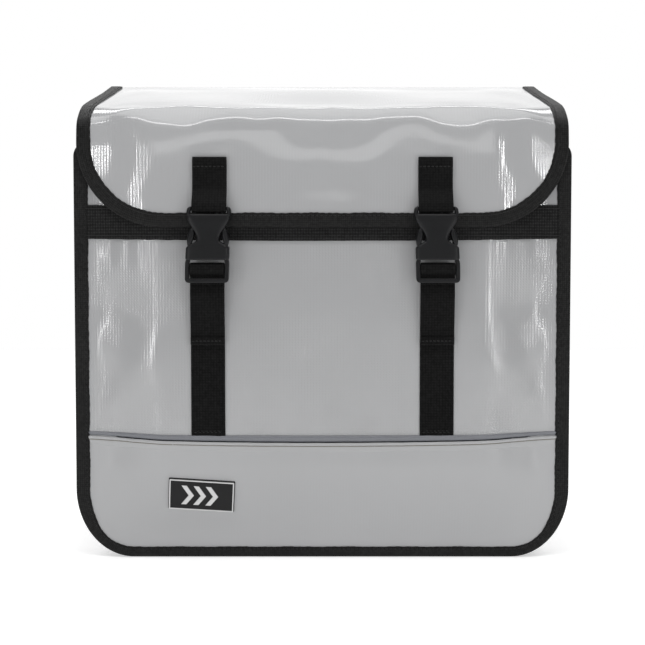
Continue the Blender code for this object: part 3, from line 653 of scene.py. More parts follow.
# %% Piping, turned edge and its stitching
across = np.linspace(-1, 1, 161) * (PANEL_HALF + 0.001)
level = 0 * across
seam = seam_height(across)
size = piping_size(across)
base = lifted(front_surface, across, seam + 0.0002, level + 0.0006)
side, up = frames(base, lifted(front_surface, across, seam, level + 0.001) - base)
piping_profile = oval(1.0, 1.0, 14)[None] * np.stack([size * 0.62, size], -1)[:, None]
piping, piping_faces = carried(base, side, up, piping_profile)
ways = np.stack(np.broadcast_arrays(np.linspace(0, 0.012, 14)[None], lengths(base)[:, None]), -1)
make("reflective_piping", piping, piping_faces, REFLECTIVE, "reflective", "bag", ["reflective_piping"], ways)

turned_profile = np.array([
    (0.0, 0.0000), (0.0002, 0.0012), (-0.0002, 0.0018), (-0.0010, 0.0020), (-0.0019, 0.0016),
    (-0.0025, 0.0013), (-0.0032, 0.0014), (-0.0060, 0.0008), (-0.0085, 0.0002), (-0.0086, -0.0004),
])
edge = np.stack([across, seam - size - 0.0003], -1)
upward = np.stack([level, level + 1], -1)
turned, turned_faces, turned_uv = tape_on(front_surface, edge, upward, turned_profile)
make("lower_panel_turned_edge", turned, turned_faces, LOWER_TARPAULIN, "tarpaulin", "bag", (), turned_uv)
seam_thread = stitched_line(front_surface, across, seam - size - 0.0027, 0.00128,
                            length=0.0021, pitch=0.0030, radius=0.00026)
make("seam_thread", *seam_thread, PALE_THREAD, "tarpaulin", "bag")

# %% [markdown]
# ## Gusset and back
# One long strip makes both sides and the bottom. It swells a little between its two bound edges, and
# upright folds run down from the mouth. The back panel is held flat by the board behind it.

# %% The gusset
SIDE_FULLNESS = 0.004  # how far the sides swell between their bindings
SIDE_SWELL = SIDE_FULLNESS * 0.95  # leaving a little for the folds
GUSSET_INSET = 0.0008  # from the middle of each bound edge to the gusset's own edge
GUSSET_HALF = PANEL_HALF - SHEET / 2 - SIDE_FULLNESS
GUSSET_LOW = PANEL_LOW + SHEET / 2
GUSSET_CORNER = EDGE_CORNER - TAPE_WIDTH - SHEET
DEPTH = BACK_Y - FRONT_Y
MIRROR = np.array([-1.0, 1.0])


def rim_height(y):
    """The mouth's edge, rising in a straight line from the front to the back."""
    return FRONT_TOP + (BACK_TOP - FRONT_TOP) * (y - FRONT_Y) / DEPTH


def u_edge(half, low, top, radius, tall, rows=60, corner=28, bottom=80):
    """Down one side, round an elliptic corner, along the bottom and up: points and the way inwards."""
    down = np.stack([np.full(rows, -half), np.linspace(top, low + tall, rows)], -1)
    turn = np.linspace(math.pi, 1.5 * math.pi, corner)[1:-1]
    arc = np.stack([radius - half + radius * np.cos(turn), low + tall + tall * np.sin(turn)], -1)
    flat = np.stack([np.linspace(radius - half, 0, bottom // 2), np.full(bottom // 2, low)], -1)
    left = np.concatenate([down, arc, flat])
    into = np.concatenate([
        np.tile([1.0, 0.0], (rows, 1)), -unit(np.stack([np.cos(turn) / radius, np.sin(turn) / tall], -1)),
        np.tile([0.0, 1.0], (bottom // 2, 1)),
    ])
    return np.concatenate([left, left[-2::-1] * MIRROR]), np.concatenate([into, into[-2::-1] * MIRROR])


strip, strip_inward = u_edge(GUSSET_HALF, GUSSET_LOW, 1.0, GUSSET_CORNER, GUSSET_CORNER, 70, 20, 60)
depth_share = np.linspace(0, 1, 70)[None, :]
depth = FRONT_Y + GUSSET_INSET + (DEPTH - 2 * GUSSET_INSET) * depth_share
x, z, y = np.broadcast_arrays(strip[:, None, 0], strip[:, None, 1], depth)
# the strip's upright ends are 1 m tall, and each line of it is shrunk to end at the mouth
straight = GUSSET_LOW + GUSSET_CORNER
shrunk = straight + (rim_height(y) - 0.0045 - straight) * (z - straight) / (1 - straight)
z = np.where(z > straight, shrunk, z)

# %% The gusset's swell and folds
belly = np.sin(math.pi * depth_share)
height = np.clip((z - straight) / (0.3 - straight), 0, 1.2)
folds = 0.0011 * np.sin(y * 95 + 1.2 * np.sin(z * 17) + np.sign(x)) * ease(height * 2)
folds += 0.0009 * np.sin(z * 34 + y * 25 + 2 * np.sign(x)) * np.cos(y * 19)
folds *= ease((rim_height(y) - z - 0.014) / 0.05)
dents = 0.0012 * belly * np.sin(x * 23 + 1) * np.sin(y * 31)
swell = np.where(z > GUSSET_LOW + 0.001, np.sqrt(belly) * (SIDE_SWELL + folds), dents)
gusset = np.stack([x, y, z], -1)
gusset[..., 0] -= strip_inward[:, None, 0] * swell
gusset[..., 2] -= strip_inward[:, None, 1] * swell
gusset, gusset_faces = thick_sheet(gusset, SHEET)
ways = both_faces(depth, lengths(strip)[:, None])
make("gusset", gusset, gusset_faces, TARPAULIN, "tarpaulin", "bag", ["gusset"], ways)


# %% The back panel
RAIL_Z = middle("hook_rail", 2)
SCREW_X = middle("rail_screw_right", 0)


def back_surface(a, b):
    """The back edge's plane seen from behind (a runs to -X), with shallow dents round the rail's screws
    and soft waves, which are products of sines kept off the edges and the rail."""
    dents = sum(bell(a, s, 0.013) * bell(b, RAIL_Z, 0.013) for s in (-SCREW_X, SCREW_X))
    soft = 0.0005 * np.sin(a * 24 + 1) * np.sin(b * 21) * ease((PANEL_HALF - np.abs(a)) / 0.03)
    y = BACK_Y - 0.0003 * dents + soft * ease((b - 0.02) / 0.03) * (1 - bell(b, RAIL_Z, 0.03)) * 0.8
    return np.stack(np.broadcast_arrays(-a, y, b), -1)


b = CUT_LOW + (BACK_TOP - CUT_LOW) * rounded_rows(90)
a = crowded(90)[None, :] * cut_half(b)
back, back_faces = thick_sheet(back_surface(a, b), SHEET)
make("back_panel", back, back_faces, TARPAULIN, "tarpaulin", "bag", ["back_panel"], both_faces(a, b))

# %% [markdown]
# ## Bound edges
# The cut edges of panel and gusset meet in a fin that stands out round the bag, and ribbed tape is folded
# over it and stitched through. The tape wanders a little and each stitch pinches it, which gives the real
# edge its slightly uneven line. At the top the tape turns the corner and dives under the flap.

# %% Edge bindings
def edge_path(half, low, top, radius, top_radius=0.011, tuck=0.014):
    """The U of an edge, with its two upper ends turned inwards round a small radius."""
    path, into = u_edge(half, low, top - top_radius, radius, radius * CORNER_TALL, 150, 40, 180)
    turn = np.linspace(math.pi / 2, math.pi, 14)[:-1]
    around = np.stack([np.cos(turn), np.sin(turn)], -1)
    arc = [top_radius - half, top - top_radius] + top_radius * around
    run = np.linspace(tuck + top_radius - half, top_radius - half, 8)[:-1]
    start = np.concatenate([np.stack([run, np.full(7, top)], -1), arc])
    start_in = np.concatenate([np.tile([0.0, -1.0], (7, 1)), -around])
    path = np.concatenate([start, path, start[::-1] * MIRROR])
    return path, np.concatenate([start_in, into, start_in[::-1] * MIRROR])


def edge_plane(y):
    """A surface that is the upright plane at one depth."""
    return lambda a, b: np.stack(np.broadcast_arrays(a, y, b), -1)


def bound_edge(name, surface, path, inward, body="bag", share=1.0, width=TAPE_WIDTH):
    """Tape folded over an edge, with a row of stitches along it on each face."""
    points, faces, uv = tape_on(surface, path, inward, fold_profile(width, TAPE_HALF), 0.016, share)
    make(name, points, faces, TAPE, "tape", body, [name], uv)
    line = path + inward * (width - 0.0021) * np.broadcast_to(share, len(path))[:, None]
    rows = [stitched_line(surface, *line.T, height) for height in (TAPE_HALF * 0.93, -TAPE_HALF * 0.93)]
    make(name + "_thread", *joined(*rows), BLACK_THREAD, "tape", body)


def bind_round(name, y, path, inward):
    """A U-shaped edge's binding, a little narrower where it turns along the bottom."""
    below = ease((0.05 - path[:, 1]) / 0.05) * ease(inward[:, 1] + 0.2)
    bound_edge(name, edge_plane(y), path, inward, share=1.0 - 0.28 * below)


front_edge = edge_path(EDGE_HALF, 0.0, FRONT_TOP, EDGE_CORNER)
bind_round("front_edge_binding", FRONT_Y, *front_edge)
back_edge = u_edge(EDGE_HALF, 0.0, BACK_TOP, EDGE_CORNER, EDGE_CORNER * CORNER_TALL, 160, 40, 180)
bind_round("back_edge_binding", BACK_Y, *back_edge)

# %% Rim bindings
path = np.stack([np.linspace(1, -1, 200) * (PANEL_HALF - 0.004), np.full(200, FRONT_TOP)], -1)
bound_edge("front_rim_binding", front_surface, path, np.tile([0.0, -1.0], (200, 1)))


def side_surface(sign):
    """A side of the bag in its own coordinates: along it from front to back, and up. It stands out by
    the root of a sine of the share of the way from front to back, as the gusset does."""
    def surface(a, b):
        depth = sign * a
        way = np.clip((depth - FRONT_Y) / DEPTH, 0.001, 0.999)
        x = GUSSET_HALF + SIDE_SWELL * np.sqrt(np.sin(math.pi * way))
        return np.stack(np.broadcast_arrays(sign * x, depth, b), -1)
    return surface


for sign, word in ((-1, "left"), (1, "right")):
    run = np.linspace(FRONT_Y + 0.006, BACK_Y - 0.006, 90)
    path = np.stack([sign * run, rim_height(run)], -1)[::-sign]
    bound_edge(f"{word}_rim_binding", side_surface(sign), path, np.tile([0.0, -1.0], (90, 1)))

# %% [markdown]
# ## The flap
# The lid is one sheet that runs from the back seam over the top and down the front. The load under it and
# the pull of the straps give it two creases where it turns: a sharp one, then a short sloping facet whose
# length waves across the bag, then a softer one. The surface is worked out by walking up the cloth from
# the front edge, leaning back a little more in each stretch. The straight stretches at both ends take up
# whatever length is left, so the front edge and the hinge both stay straight.

# %% The stretches of the flap's cloth
FLAP_HALF = float(corners("flap_edge_binding")[1][0])
FLAP_LOW = float(corners("flap_edge_binding")[0][2])
HINGE_Z = BACK_TOP + 0.003
FLAP_Y = FRONT_Y - 0.0046  # the plane of the flap's front edge
FLAP_TAPE = 0.0107  # its binding's width
FLAP_RISE = 0.1791  # the length of cloth below the hinge over which it rises to its fullness
SEWN_BEHIND = 0.025  # how far the cloth runs on down the back below the hinge
LEANS = np.radians([90, 90, 82, 44, 37, 11.6, 11.6])  # of the cloth where each stretch starts and ends
TOP_LEAN = float(LEANS[-1])


def flap_stretches(x):
    """Length of each stretch of cloth above the front edge: the upright, the start of its turn, the sharp
    crease, the facet, the soft crease and the top. Bells and sines make the facet's length wave."""
    side = np.abs(x)
    facet = 0.0070 + 0.0105 * bell(side, 0.101, 0.019) - 0.0038 * bell(side, 0.066, 0.016)
    facet += 0.0010 * np.sin(x * 95 + 0.7) + 0.0006 * np.sin(x * 240)
    facet = np.maximum(facet - 0.0075 * ease((side - 0.122) / 0.04), 0.0008)
    same = np.ones_like(facet)
    turn = 0.0045 + 0.026 * ease((side - 0.135) / 0.045)
    stretches = [0 * same, 0.030 * same, 0.008 * same, facet, turn, 0 * same]
    across = up = 0
    for k in range(1, 5):
        half = (LEANS[k + 1] - LEANS[k]) / 2
        reach = stretches[k] * np.sinc(half / math.pi)
        across = across + reach * np.cos(LEANS[k] + half)
        up = up + reach * np.sin(LEANS[k] + half)
    stretches[5] = (BACK_Y - FLAP_Y - across) / math.cos(TOP_LEAN)
    stretches[0] = HINGE_Z - FLAP_LOW - up - stretches[5] * math.sin(TOP_LEAN)
    return stretches


def flap_length(x):
    """The whole length of cloth from the front edge to the hinge."""
    return sum(flap_stretches(x))


# %% The flap's folds
def flap_folds(x, b, whole):
    """Small waves of the cloth, which are sines, still near its edges and under the straps."""
    side = np.abs(x)
    down = whole - b
    still = ease((FLAP_HALF - 0.010 - side) / 0.02) * ease((b - 0.012) / 0.02) * ease(down / 0.03)
    strap = 1 - 0.9 * bell(side, STRAP_X, 0.020) * ease((0.062 - b) / 0.012)
    waves = 0.0009 * np.sin(x * 33 + 1.4) * np.sin(b * 41 + 0.5)
    waves += 0.0007 * np.sin(side * 61 + b * 30) * bell(b, 0.050, 0.030)
    waves += 0.0006 * np.sin(x * 120 + np.sin(x * 47)) * bell(b, 0.088, 0.014)
    waves += 0.0004 * bell(side, 0.147, 0.013) * np.sin(b * 62 + 0.8)
    waves += 0.0007 * np.sin(x * 27 + 2.0) * np.sin(b * 35) * ease((b - 0.1) / 0.02)
    return waves * still * strap


# %% The flap's surface
def flap_surface(x, b):
    """x across; b up along the cloth from the front edge. Each stretch adds its arc's chord:
    length times sinc(half turn), along the lean at its middle. Then the filling pushes it forward."""
    x, b = np.broadcast_arrays(np.asarray(x, float), np.asarray(b, float))
    stretches = flap_stretches(x)
    y, z, start = FLAP_Y + 0 * b, FLAP_LOW + 0 * b, 0
    for k, length in enumerate(stretches):
        # the first and last stretch run on in a straight line past the cloth's ends
        gone = np.clip(b - start, None if k == 0 else 0, None if k == 5 else length)
        half = (LEANS[k + 1] - LEANS[k]) / 2 * np.clip(gone / np.maximum(length, 1e-9), 0, 1)
        reach = gone * np.sinc(half / math.pi)
        y = y + reach * np.cos(LEANS[k] + half)
        z = z + reach * np.sin(LEANS[k] + half)
        start = start + length
    whole, top = start, stretches[5]
    from_side = FLAP_HALF - np.abs(x)
    fullness = FULLNESS * (0.6 * ease(from_side / 0.059) + 0.4 * ease(from_side / 0.1))
    y = y - fullness * ease((whole - b) / FLAP_RISE)
    share = np.clip((whole - b) / top, 0, 1)
    z = z + 0.0020 * ease(share / 0.4) * ease((1 - share) / 0.6) * ease(from_side / 0.04)
    narrow = 1 - 0.015 * ease((b - whole + top - 0.004) / 0.09)
    lean = ease((b - whole + top + 0.012) / 0.024)
    fold = flap_folds(x, b, whole)
    return np.stack([x * narrow, y - fold * (1 - lean), z + fold * lean], -1)


print("the flap's cloth is", flap_length(np.array([0.0, 0.1])), "long at the middle and at the side")

# %% The flap's sheet
CORNER_ACROSS, CORNER_UP = 0.066, 0.063
FLAP_CUT = 0.003  # how far the cut edge lies inside the binding's


def flap_half(b):
    """Half width of the flap's cloth: its corners are quarter ellipses."""
    rise = np.clip(1 - (b - FLAP_CUT) / (CORNER_UP - FLAP_CUT), 0, 1)
    return FLAP_HALF - FLAP_CUT - (CORNER_ACROSS - FLAP_CUT) * (1 - np.sqrt(1 - rise**2))


def flap_rows(x):
    """Shares of the way up the cloth that crowd round the corner's foot and each crease."""
    stretches = flap_stretches(x)
    way = 1 - np.cos(np.linspace(0, math.pi / 2, 46))
    corner = FLAP_CUT + (CORNER_UP - FLAP_CUT) * way[:-1, None]
    marks = [CORNER_UP + 0 * stretches[0], stretches[0] + stretches[1]]
    for length in stretches[2:]:
        marks.append(marks[-1] + length)
    rows = [corner + 0 * marks[0]]
    for low, high, count in zip(marks[:-1], marks[1:], (10, 22, 14, 16, 60)):
        rows.append(low + (high - low) * np.linspace(0, 1, count, endpoint=False)[:, None])
    rows.append(marks[-1][None])
    return np.concatenate(rows)


across = crowded(210, 0.25)[None, :]
b = flap_rows(across[0] * (FLAP_HALF - FLAP_CUT))
x = across * flap_half(b)
front = flap_surface(x, b)
# below the hinge the cloth hangs straight down behind the back panel
hang = np.linspace(0, 1, 26)[1:, None]
y = BACK_Y + 0.0009 * (1 - (1 - hang) ** 4)
z = HINGE_Z - SEWN_BEHIND * hang + 0.0004 * (1 - hang) ** 8
behind = np.stack(np.broadcast_arrays(front[-1:, :, 0], y, z), -1)
flap_points, flap_faces = thick_sheet(np.concatenate([front, behind]), SHEET)
x = np.concatenate([x, np.repeat(x[-1:], 25, 0)])
b = np.concatenate([b, b[-1:] + SEWN_BEHIND * hang])
flap_piece = make("flap_panel", flap_points, flap_faces, LID_TARPAULIN, "tarpaulin", None, ["flap_panel"],
                  both_faces(x, b))

# %% The flap's binding
top = float(flap_length(np.array(FLAP_HALF))) - 0.0045
path, inward = u_edge(FLAP_HALF, 0.0, top, CORNER_ACROSS, CORNER_UP, 150, 90, 300)
bound_edge("flap_edge_binding", flap_surface, path, inward, "flap", width=FLAP_TAPE)

# %% [markdown]
# ## Webbing across the mouth and along the back seam
# A wide, coarse webbing is sewn right across the front below the flap's edge to stiffen the mouth, with two
# rows of stitching, and another holds the flap's back seam. Each is a rounded strip laid on its surface.

# %% Webbing strips
def strip_on(name, surface, low, width, half, thickness, finish, proud, drop=0.0):
    """A rounded strip across a surface: a closed box profile of height over thickness, carried across.
    drop is how far its lower edge sags at the middle, less the square of the way to the end."""
    profile = rounded_box(width / 2, thickness / 2, thickness * 0.42)[None]
    across = np.linspace(-half, half, 240)
    sag = drop * (1 - (across / half) ** 2)[:, None] * (profile[..., 0] < 0)
    up = low + width / 2 - sag + profile[..., 0] * (1 - 0.006 * np.sin(across * 55)[:, None])
    over = proud + thickness / 2 + profile[..., 1] + 0 * up
    points = lifted(surface, across[:, None] + 0 * up, up, over)
    faces = [face[::-1] for face in tube_faces(*up.shape)]
    uv = np.stack([up, np.broadcast_to(across[:, None], up.shape)], -1)
    make(name, points, faces, finish, "webbing", "bag", [name], uv)
    heights = [low + width * share + 0 * across for share in (0.1, 0.9)]
    rows = [stitched_line(surface, across, height, proud + thickness) for height in heights]
    make(name + "_thread", *joined(*rows), BLACK_THREAD, "webbing", "bag")


low, high = corners("mouth_webbing")
strip_on("mouth_webbing", front_surface, float(low[2]), float(high[2] - low[2]), float(high[0]) + 0.001,
         0.0014, MOUTH_WEBBING, SHEET / 2 + 0.0001, drop=0.0014)


def back_plane(a, b):
    """Behind the flap's sewn edge, seen from the back, curling forward over the hinge at the top by the
    square of the way past it."""
    curl = np.clip((b - BACK_TOP + 0.0015) / 0.006, 0, 1)
    return np.stack(np.broadcast_arrays(-a, BACK_Y + 0.0016 - 0.0006 * curl**2, b), -1)


strip_on("flap_seam_webbing", back_plane, BACK_TOP - 0.0235, 0.0262, PANEL_HALF, 0.0013, STRAP, 0.0)

# %% [markdown]
# ## Straps
# A strap is a flat strip of webbing that follows a path drawn in the depth and the height, at one place
# across the bag. The upper one is doubled round the socket's bar and stitched through, the lower one
# comes up behind the clip, turns round its bar and hangs down in front as the free tail.

# %% Where the straps lie
SOCKET_Y = middle("buckle_socket_right", 1)
SOCKET_LOW = float(corners("buckle_socket_right")[0][2])
CLIP_LOW = float(corners("buckle_clip_right")[0][2])
BAR_Z = SOCKET_LOW + 0.0368  # the socket's bar, which the upper strap goes round
CLIP_BAR_Z = CLIP_LOW + 0.0099
LOOP = 0.0016 + GAP + WEBBING / 2  # radius of the strap's middle round the socket's bar
CLIP_LOOP = 0.0042  # and round the clip's
STRAP_TOP = float(corners("upper_strap_right")[1][2])
LIE = SHEET / 2 + WEBBING / 2 + 0.0002  # from a sheet's middle to the middle of a strap on it
PLY = WEBBING + GAP  # from one ply of a strap to the next
LEAVE = CLIP_LOW - 0.0368  # where the lower strap leaves the panel


def leaning(points):
    """The same points with the buckle and its straps leaning: sideways by a soft step of the height."""
    points = np.array(points, float)
    side = np.sign(points[..., 0].mean())
    points[..., 0] -= side * 0.0010 * np.tanh((points[..., 2] - SOCKET_LOW - 0.011) / 0.022)
    return points


def arc_path(centre, radius, start, end):
    """Points round a bar, by angles in degrees from the back towards the top."""
    turn = np.radians(np.linspace(start, end, 14))
    return np.stack([centre[0] + radius * np.cos(turn), centre[1] + radius * np.sin(turn)], -1)


# %% Webbing and its stitches
def strap(name, x, path, body, start=0.0):
    """A box profile with round edges carried along a path of (depth, height), with frames square to it."""
    path = rounded_path(path)
    path = np.stack([np.full(len(path), x), path[:, 0], path[:, 1]], -1)
    side, up = frames(path, np.tile([1.0, 0.0, 0.0], (len(path), 1)))
    profile = rounded_box(WEBBING_WIDTH / 2, WEBBING / 2, WEBBING * 0.42)
    points, faces = carried(path, side, up, profile)
    uv = np.stack(np.broadcast_arrays(profile[None, :, 0], start + lengths(path)[:, None]), -1)
    make(name, leaning(points), faces, STRAP, "webbing", body, [name], uv)


def box_stitch(name, x, low, tall, depth, body, half=0.0092):
    """A narrow rectangle of thread on a strap's face, whose depth is a function of the height."""
    high = low + tall
    line = spaced(np.array([(-half, low), (half, low), (half, high), (-half, high), (-half, low)]), 0.0005)
    place = np.stack([x + line[:, 0], [depth(z) for z in line[:, 1]], line[:, 1]], -1)
    out = np.tile([0.0, -1.0, 0.0], (len(place), 1))
    points, faces = stitches(place, out, length=0.0021, pitch=0.0029, radius=0.00024)
    make(name, leaning(points), faces, BLACK_THREAD, "webbing", body)


# %% The upper straps
def upper_strap(word, x):
    """Down the flap in two plies, round the socket's bar between them, and sewn through in four rows."""
    heights = np.linspace(STRAP_TOP - 0.001, BAR_Z + 0.0144, 12)
    cloth = flap_surface(np.full(12, x), heights - FLAP_LOW)[:, 1]
    inner = np.stack([cloth - LIE, heights], -1)
    outer = inner - [WEBBING + 0.0002, 0]
    path = np.concatenate([
        outer[:1] + [[0.0009, -0.0006]], outer[:1] + [[0.0001, 0.0007]], outer[1:],
        [(SOCKET_Y - LOOP, BAR_Z + 0.0035)], arc_path((SOCKET_Y, BAR_Z), LOOP, 180, 360),
        [(SOCKET_Y + LOOP, BAR_Z + 0.0030)], inner[:0:-1],
    ])
    strap(f"upper_strap_{word}", x, path, "flap")

    def face(z):
        return float(np.interp(z, inner[::-1, 1], inner[::-1, 0])) - WEBBING * 1.5 - 0.0003

    for row, above in (("low", 0.0072), ("middle", 0.0092), ("high", 0.0112), ("top", 0.0306)):
        box_stitch(f"upper_strap_{word}_{row}_thread", x, BAR_Z + above, 0.0003, face, "flap", 0.0110)


# %% The lower straps
def lower_strap(word, x):
    """The fixed ply rises from the seam behind the clip, the loop goes round the clip's bar, and the
    tail hangs in front and ends in a hem."""
    def on_panel(z):
        return float(front_surface(np.array(x), np.array(z))[1]) - LIE

    behind = SOCKET_Y + 0.0041 + GAP + WEBBING / 2
    low = float(corners(f"lower_strap_{word}")[0][2]) - 0.0015
    path = [(on_panel(z), z) for z in np.linspace(low, LEAVE - 0.008, 14)]
    path[0] = (path[0][0] + 0.0004, path[0][1])
    path += [(on_panel(LEAVE) - 0.0006, LEAVE), (behind, CLIP_LOW), (behind, CLIP_BAR_Z)]
    strap(f"lower_strap_{word}", x, path, "bag")
    box_stitch(f"lower_strap_{word}_thread", x, low + 0.0035, 0.0010, lambda z: on_panel(z) - 0.0007, "bag")

    threaded = behind - PLY
    leaves = CLIP_LOW - 0.002
    path = np.concatenate([
        arc_path((SOCKET_Y, CLIP_BAR_Z), CLIP_LOOP, -8, 190),
        [(SOCKET_Y - CLIP_LOOP * 0.75, CLIP_BAR_Z - 0.0026), (threaded, CLIP_LOW + 0.0032)],
        [(threaded, leaves)],
    ])
    strap(f"strap_loop_{word}", x, path, f"clip_{word}")

    low = float(corners(f"strap_tail_{word}")[0][2])
    end = on_panel(low) - PLY - 0.0005
    path = [(threaded, leaves), (threaded - 0.0005, leaves - 0.006)]
    path += [(on_panel(LEAVE + 0.004) - PLY - 0.0011, LEAVE + 0.004), (end, low + 0.0002)]
    # the free end is folded forward on itself and sewn
    path += [(end - WEBBING * 0.6, low - 0.0004), (end - WEBBING * 1.15, low + 0.0004)]
    path += [(end - WEBBING * 1.25, low + 0.0056)]
    strap(f"strap_tail_{word}", x, path, f"tail_{word}", start=0.008)
    hem = end - WEBBING * 1.8 - 0.0001
    box_stitch(f"strap_tail_{word}_thread", x, low + 0.0028, 0.0003, lambda z: hem, f"tail_{word}", 0.0105)


for word, x in SIDES:
    upper_strap(word, x)
    lower_strap(word, x)

# %% [markdown]
# ## Buckles
# A side-release buckle is two mouldings. The socket is lofted: at each height it has a half width and a
# half depth, and its section is a superellipse, which is a rectangle with soft edges. Below, the loft turns
# inwards and goes back up, so the mouth is hollow. The clip is a frame carried round a closed path, and
# its two springy prongs are lofts that swell into the thumb pads beside the socket's waist.

# %% Lofts
def superellipse(half_across, half_deep, squareness, count):
    """cos and sin raised to 2 over the squareness, with their signs kept, times the two half sizes."""
    turn = np.linspace(0, 2 * math.pi, count, endpoint=False) + math.pi / count
    bend = 2.0 / squareness
    across = np.sign(np.cos(turn)) * np.abs(np.cos(turn)) ** bend
    deep = np.sign(np.sin(turn)) * np.abs(np.sin(turn)) ** bend
    return half_across[:, None] * across, half_deep[:, None] * deep


def loft(centre, heights, half_across, half_deep, shift=0.0, squareness=5.0, count=44):
    """Superellipses stacked in height round a centre (x, y), closed at both ends."""
    across, deep = superellipse(half_across, half_deep, squareness, count)
    x = centre[0] + np.broadcast_to(shift, np.shape(heights))[:, None] + across
    z = np.broadcast_to(heights[:, None], x.shape)
    return np.stack([x, centre[1] + deep, z], -1), tube_faces(len(heights), count)


def smooth_curve(at, places, values):
    """Values between given ones, averaged over a short run so that no corner is left sharp."""
    spread = np.linspace(-0.0006, 0.0006, 7)
    return np.interp(at[:, None] + spread, places, values).mean(-1)


# %% The socket
MM = 0.001
WAIST_AT = np.array([
    0, 0.4, 1.2, 8.8, 9.6, 11.5, 12.5, 13.5, 15.0, 16.5, 18.5, 20.8, 24.0, 27.9, 30.0, 32.2, 33.2,
]) * MM
WAIST = np.array([
    15.2, 15.7, 15.9, 15.8, 15.2, 12.5, 10.2, 8.9, 8.4, 8.4, 9.1, 10.3, 12.4, 14.7, 15.5, 15.8, 15.5,
]) * MM
DEEP = np.array([
    4.5, 4.8, 4.95, 4.9, 4.85, 4.8, 4.7, 4.6, 4.5, 4.4, 4.3, 4.3, 4.3, 4.4, 4.4, 4.1, 3.4,
]) * MM


def socket(word, x):
    """A loft up the outside and back down inside the mouth, and a ring carried round the bar's path."""
    rise = [np.linspace(33.2, 32.2, 5), np.linspace(32.0, 1.2, 84), np.linspace(1.0, 0, 5)]
    rise = np.concatenate(rise) * MM
    half, deep = smooth_curve(rise, WAIST_AT, WAIST), smooth_curve(rise, WAIST_AT, DEEP)
    # the lower shell stands a little proud of the waist, behind a rounded shoulder line
    deep = deep + 0.0003 * ease((0.0105 - rise) / 0.0012) * ease(rise / 0.002)
    rows = np.concatenate([rise, np.linspace(0, 9.0, 8) * MM])
    half = np.concatenate([half, np.full(8, 0.0146)])
    deep = np.concatenate([deep, np.full(8, 0.0036)])
    points, faces = loft((x, SOCKET_Y), SOCKET_LOW + rows, half, np.minimum(deep, 0.00498))
    body = (points, [face[::-1] for face in faces])
    corner = np.array([
        (-13.0, 30.6), (-14.4, 32.2), (-14.7, 34.2), (-14.6, 36.2), (-14.0, 37.2), (-13.0, 37.3),
        (-12.2, 36.9),
    ]) * MM
    centre = np.concatenate([corner, [(0.0, 0.0369)], corner[::-1] * [-1, 1]])
    path = rounded_path(centre, 0.0005, 5)
    along = np.stack([x + path[:, 0], np.full(len(path), SOCKET_Y), SOCKET_LOW + path[:, 1]], -1)
    side, up = frames(along, np.tile([0.0, -1.0, 0.0], (len(along), 1)))
    ear = ease((np.abs(path[:, 0]) - 0.0122) / 0.0012)
    profile = np.stack([0.0016 + 0.0019 * ear, 0.0015 + 0.0001 * ear], -1)
    ring = carried(along, side, up, oval(1.0, 1.0, 16)[None] * profile[:, None])
    points, faces = joined(body, ring)
    make(f"buckle_socket_{word}", leaning(points), faces, BUCKLE, "buckle_plastic", "flap",
         [f"buckle_socket_{word}"], sharp=50)


# %% The clip
def clip(word, x):
    """A frame carried round its outline, which is averaged to round its corners, a bar and a middle rib."""
    low, high = CLIP_LOW + 0.0013, SOCKET_LOW + 0.0016
    outline = np.array([
        (-14.3, low), (14.3, low), (14.4, SOCKET_LOW - 0.0012), (13.2, SOCKET_LOW + 0.0006), (12.6, high),
        (-12.6, high), (-13.2, SOCKET_LOW + 0.0006), (-14.4, SOCKET_LOW - 0.0012), (-14.3, low),
    ]) * [MM, 1]
    path = spaced(outline, 0.0004)[:-1]
    for _ in range(12):
        path = (np.roll(path, 1, 0) + 2 * path + np.roll(path, -1, 0)) / 4
    bottom = ease((low + 0.0022 - path[:, 1]) / 0.0018)
    middle_y = SOCKET_Y - 0.0016 * bottom
    along = np.stack([x + path[:, 0], middle_y, path[:, 1]], -1)
    tangent = unit(np.roll(along, -1, 0) - np.roll(along, 1, 0))
    side = np.tile([0.0, -1.0, 0.0], (len(along), 1))
    up = unit(np.cross(side, tangent))
    inside = ease((path[:, 1] - SOCKET_LOW + 0.0006) / 0.0012)
    profile = rounded_box(1.0, 1.0, 0.42, 5)[None] * np.stack(
        [0.0031 - 0.0014 * bottom - 0.0003 * inside, 0.0016 - 0.0005 * inside], -1)[:, None]
    ring = carried(along, side, up, profile, closed=True)
    share = np.linspace(-1, 1, 9)[:, None]
    bar_path = np.concatenate([x + share * 0.0138, SOCKET_Y + 0 * share, CLIP_BAR_Z + 0 * share], -1)
    side, up = frames(bar_path, np.tile([0.0, -1.0, 0.0], (9, 1)))
    bar = carried(bar_path, side, up, oval(0.0016, 0.0016, 16))
    rises = np.linspace(0.0012, 0.0178, 14)
    rib_half = np.interp(rises, [0, 0.015, 0.0178], [0.0016, 0.0015, 0.0006])
    rib = loft((x, SOCKET_Y), SOCKET_LOW + rises, rib_half, 0 * rises + 0.0019, count=20)
    points, faces = joined(ring, bar, rib)
    make(f"buckle_clip_{word}", leaning(points), faces, BUCKLE, "buckle_plastic", f"clip_{word}",
         [f"buckle_clip_{word}"], sharp=50)


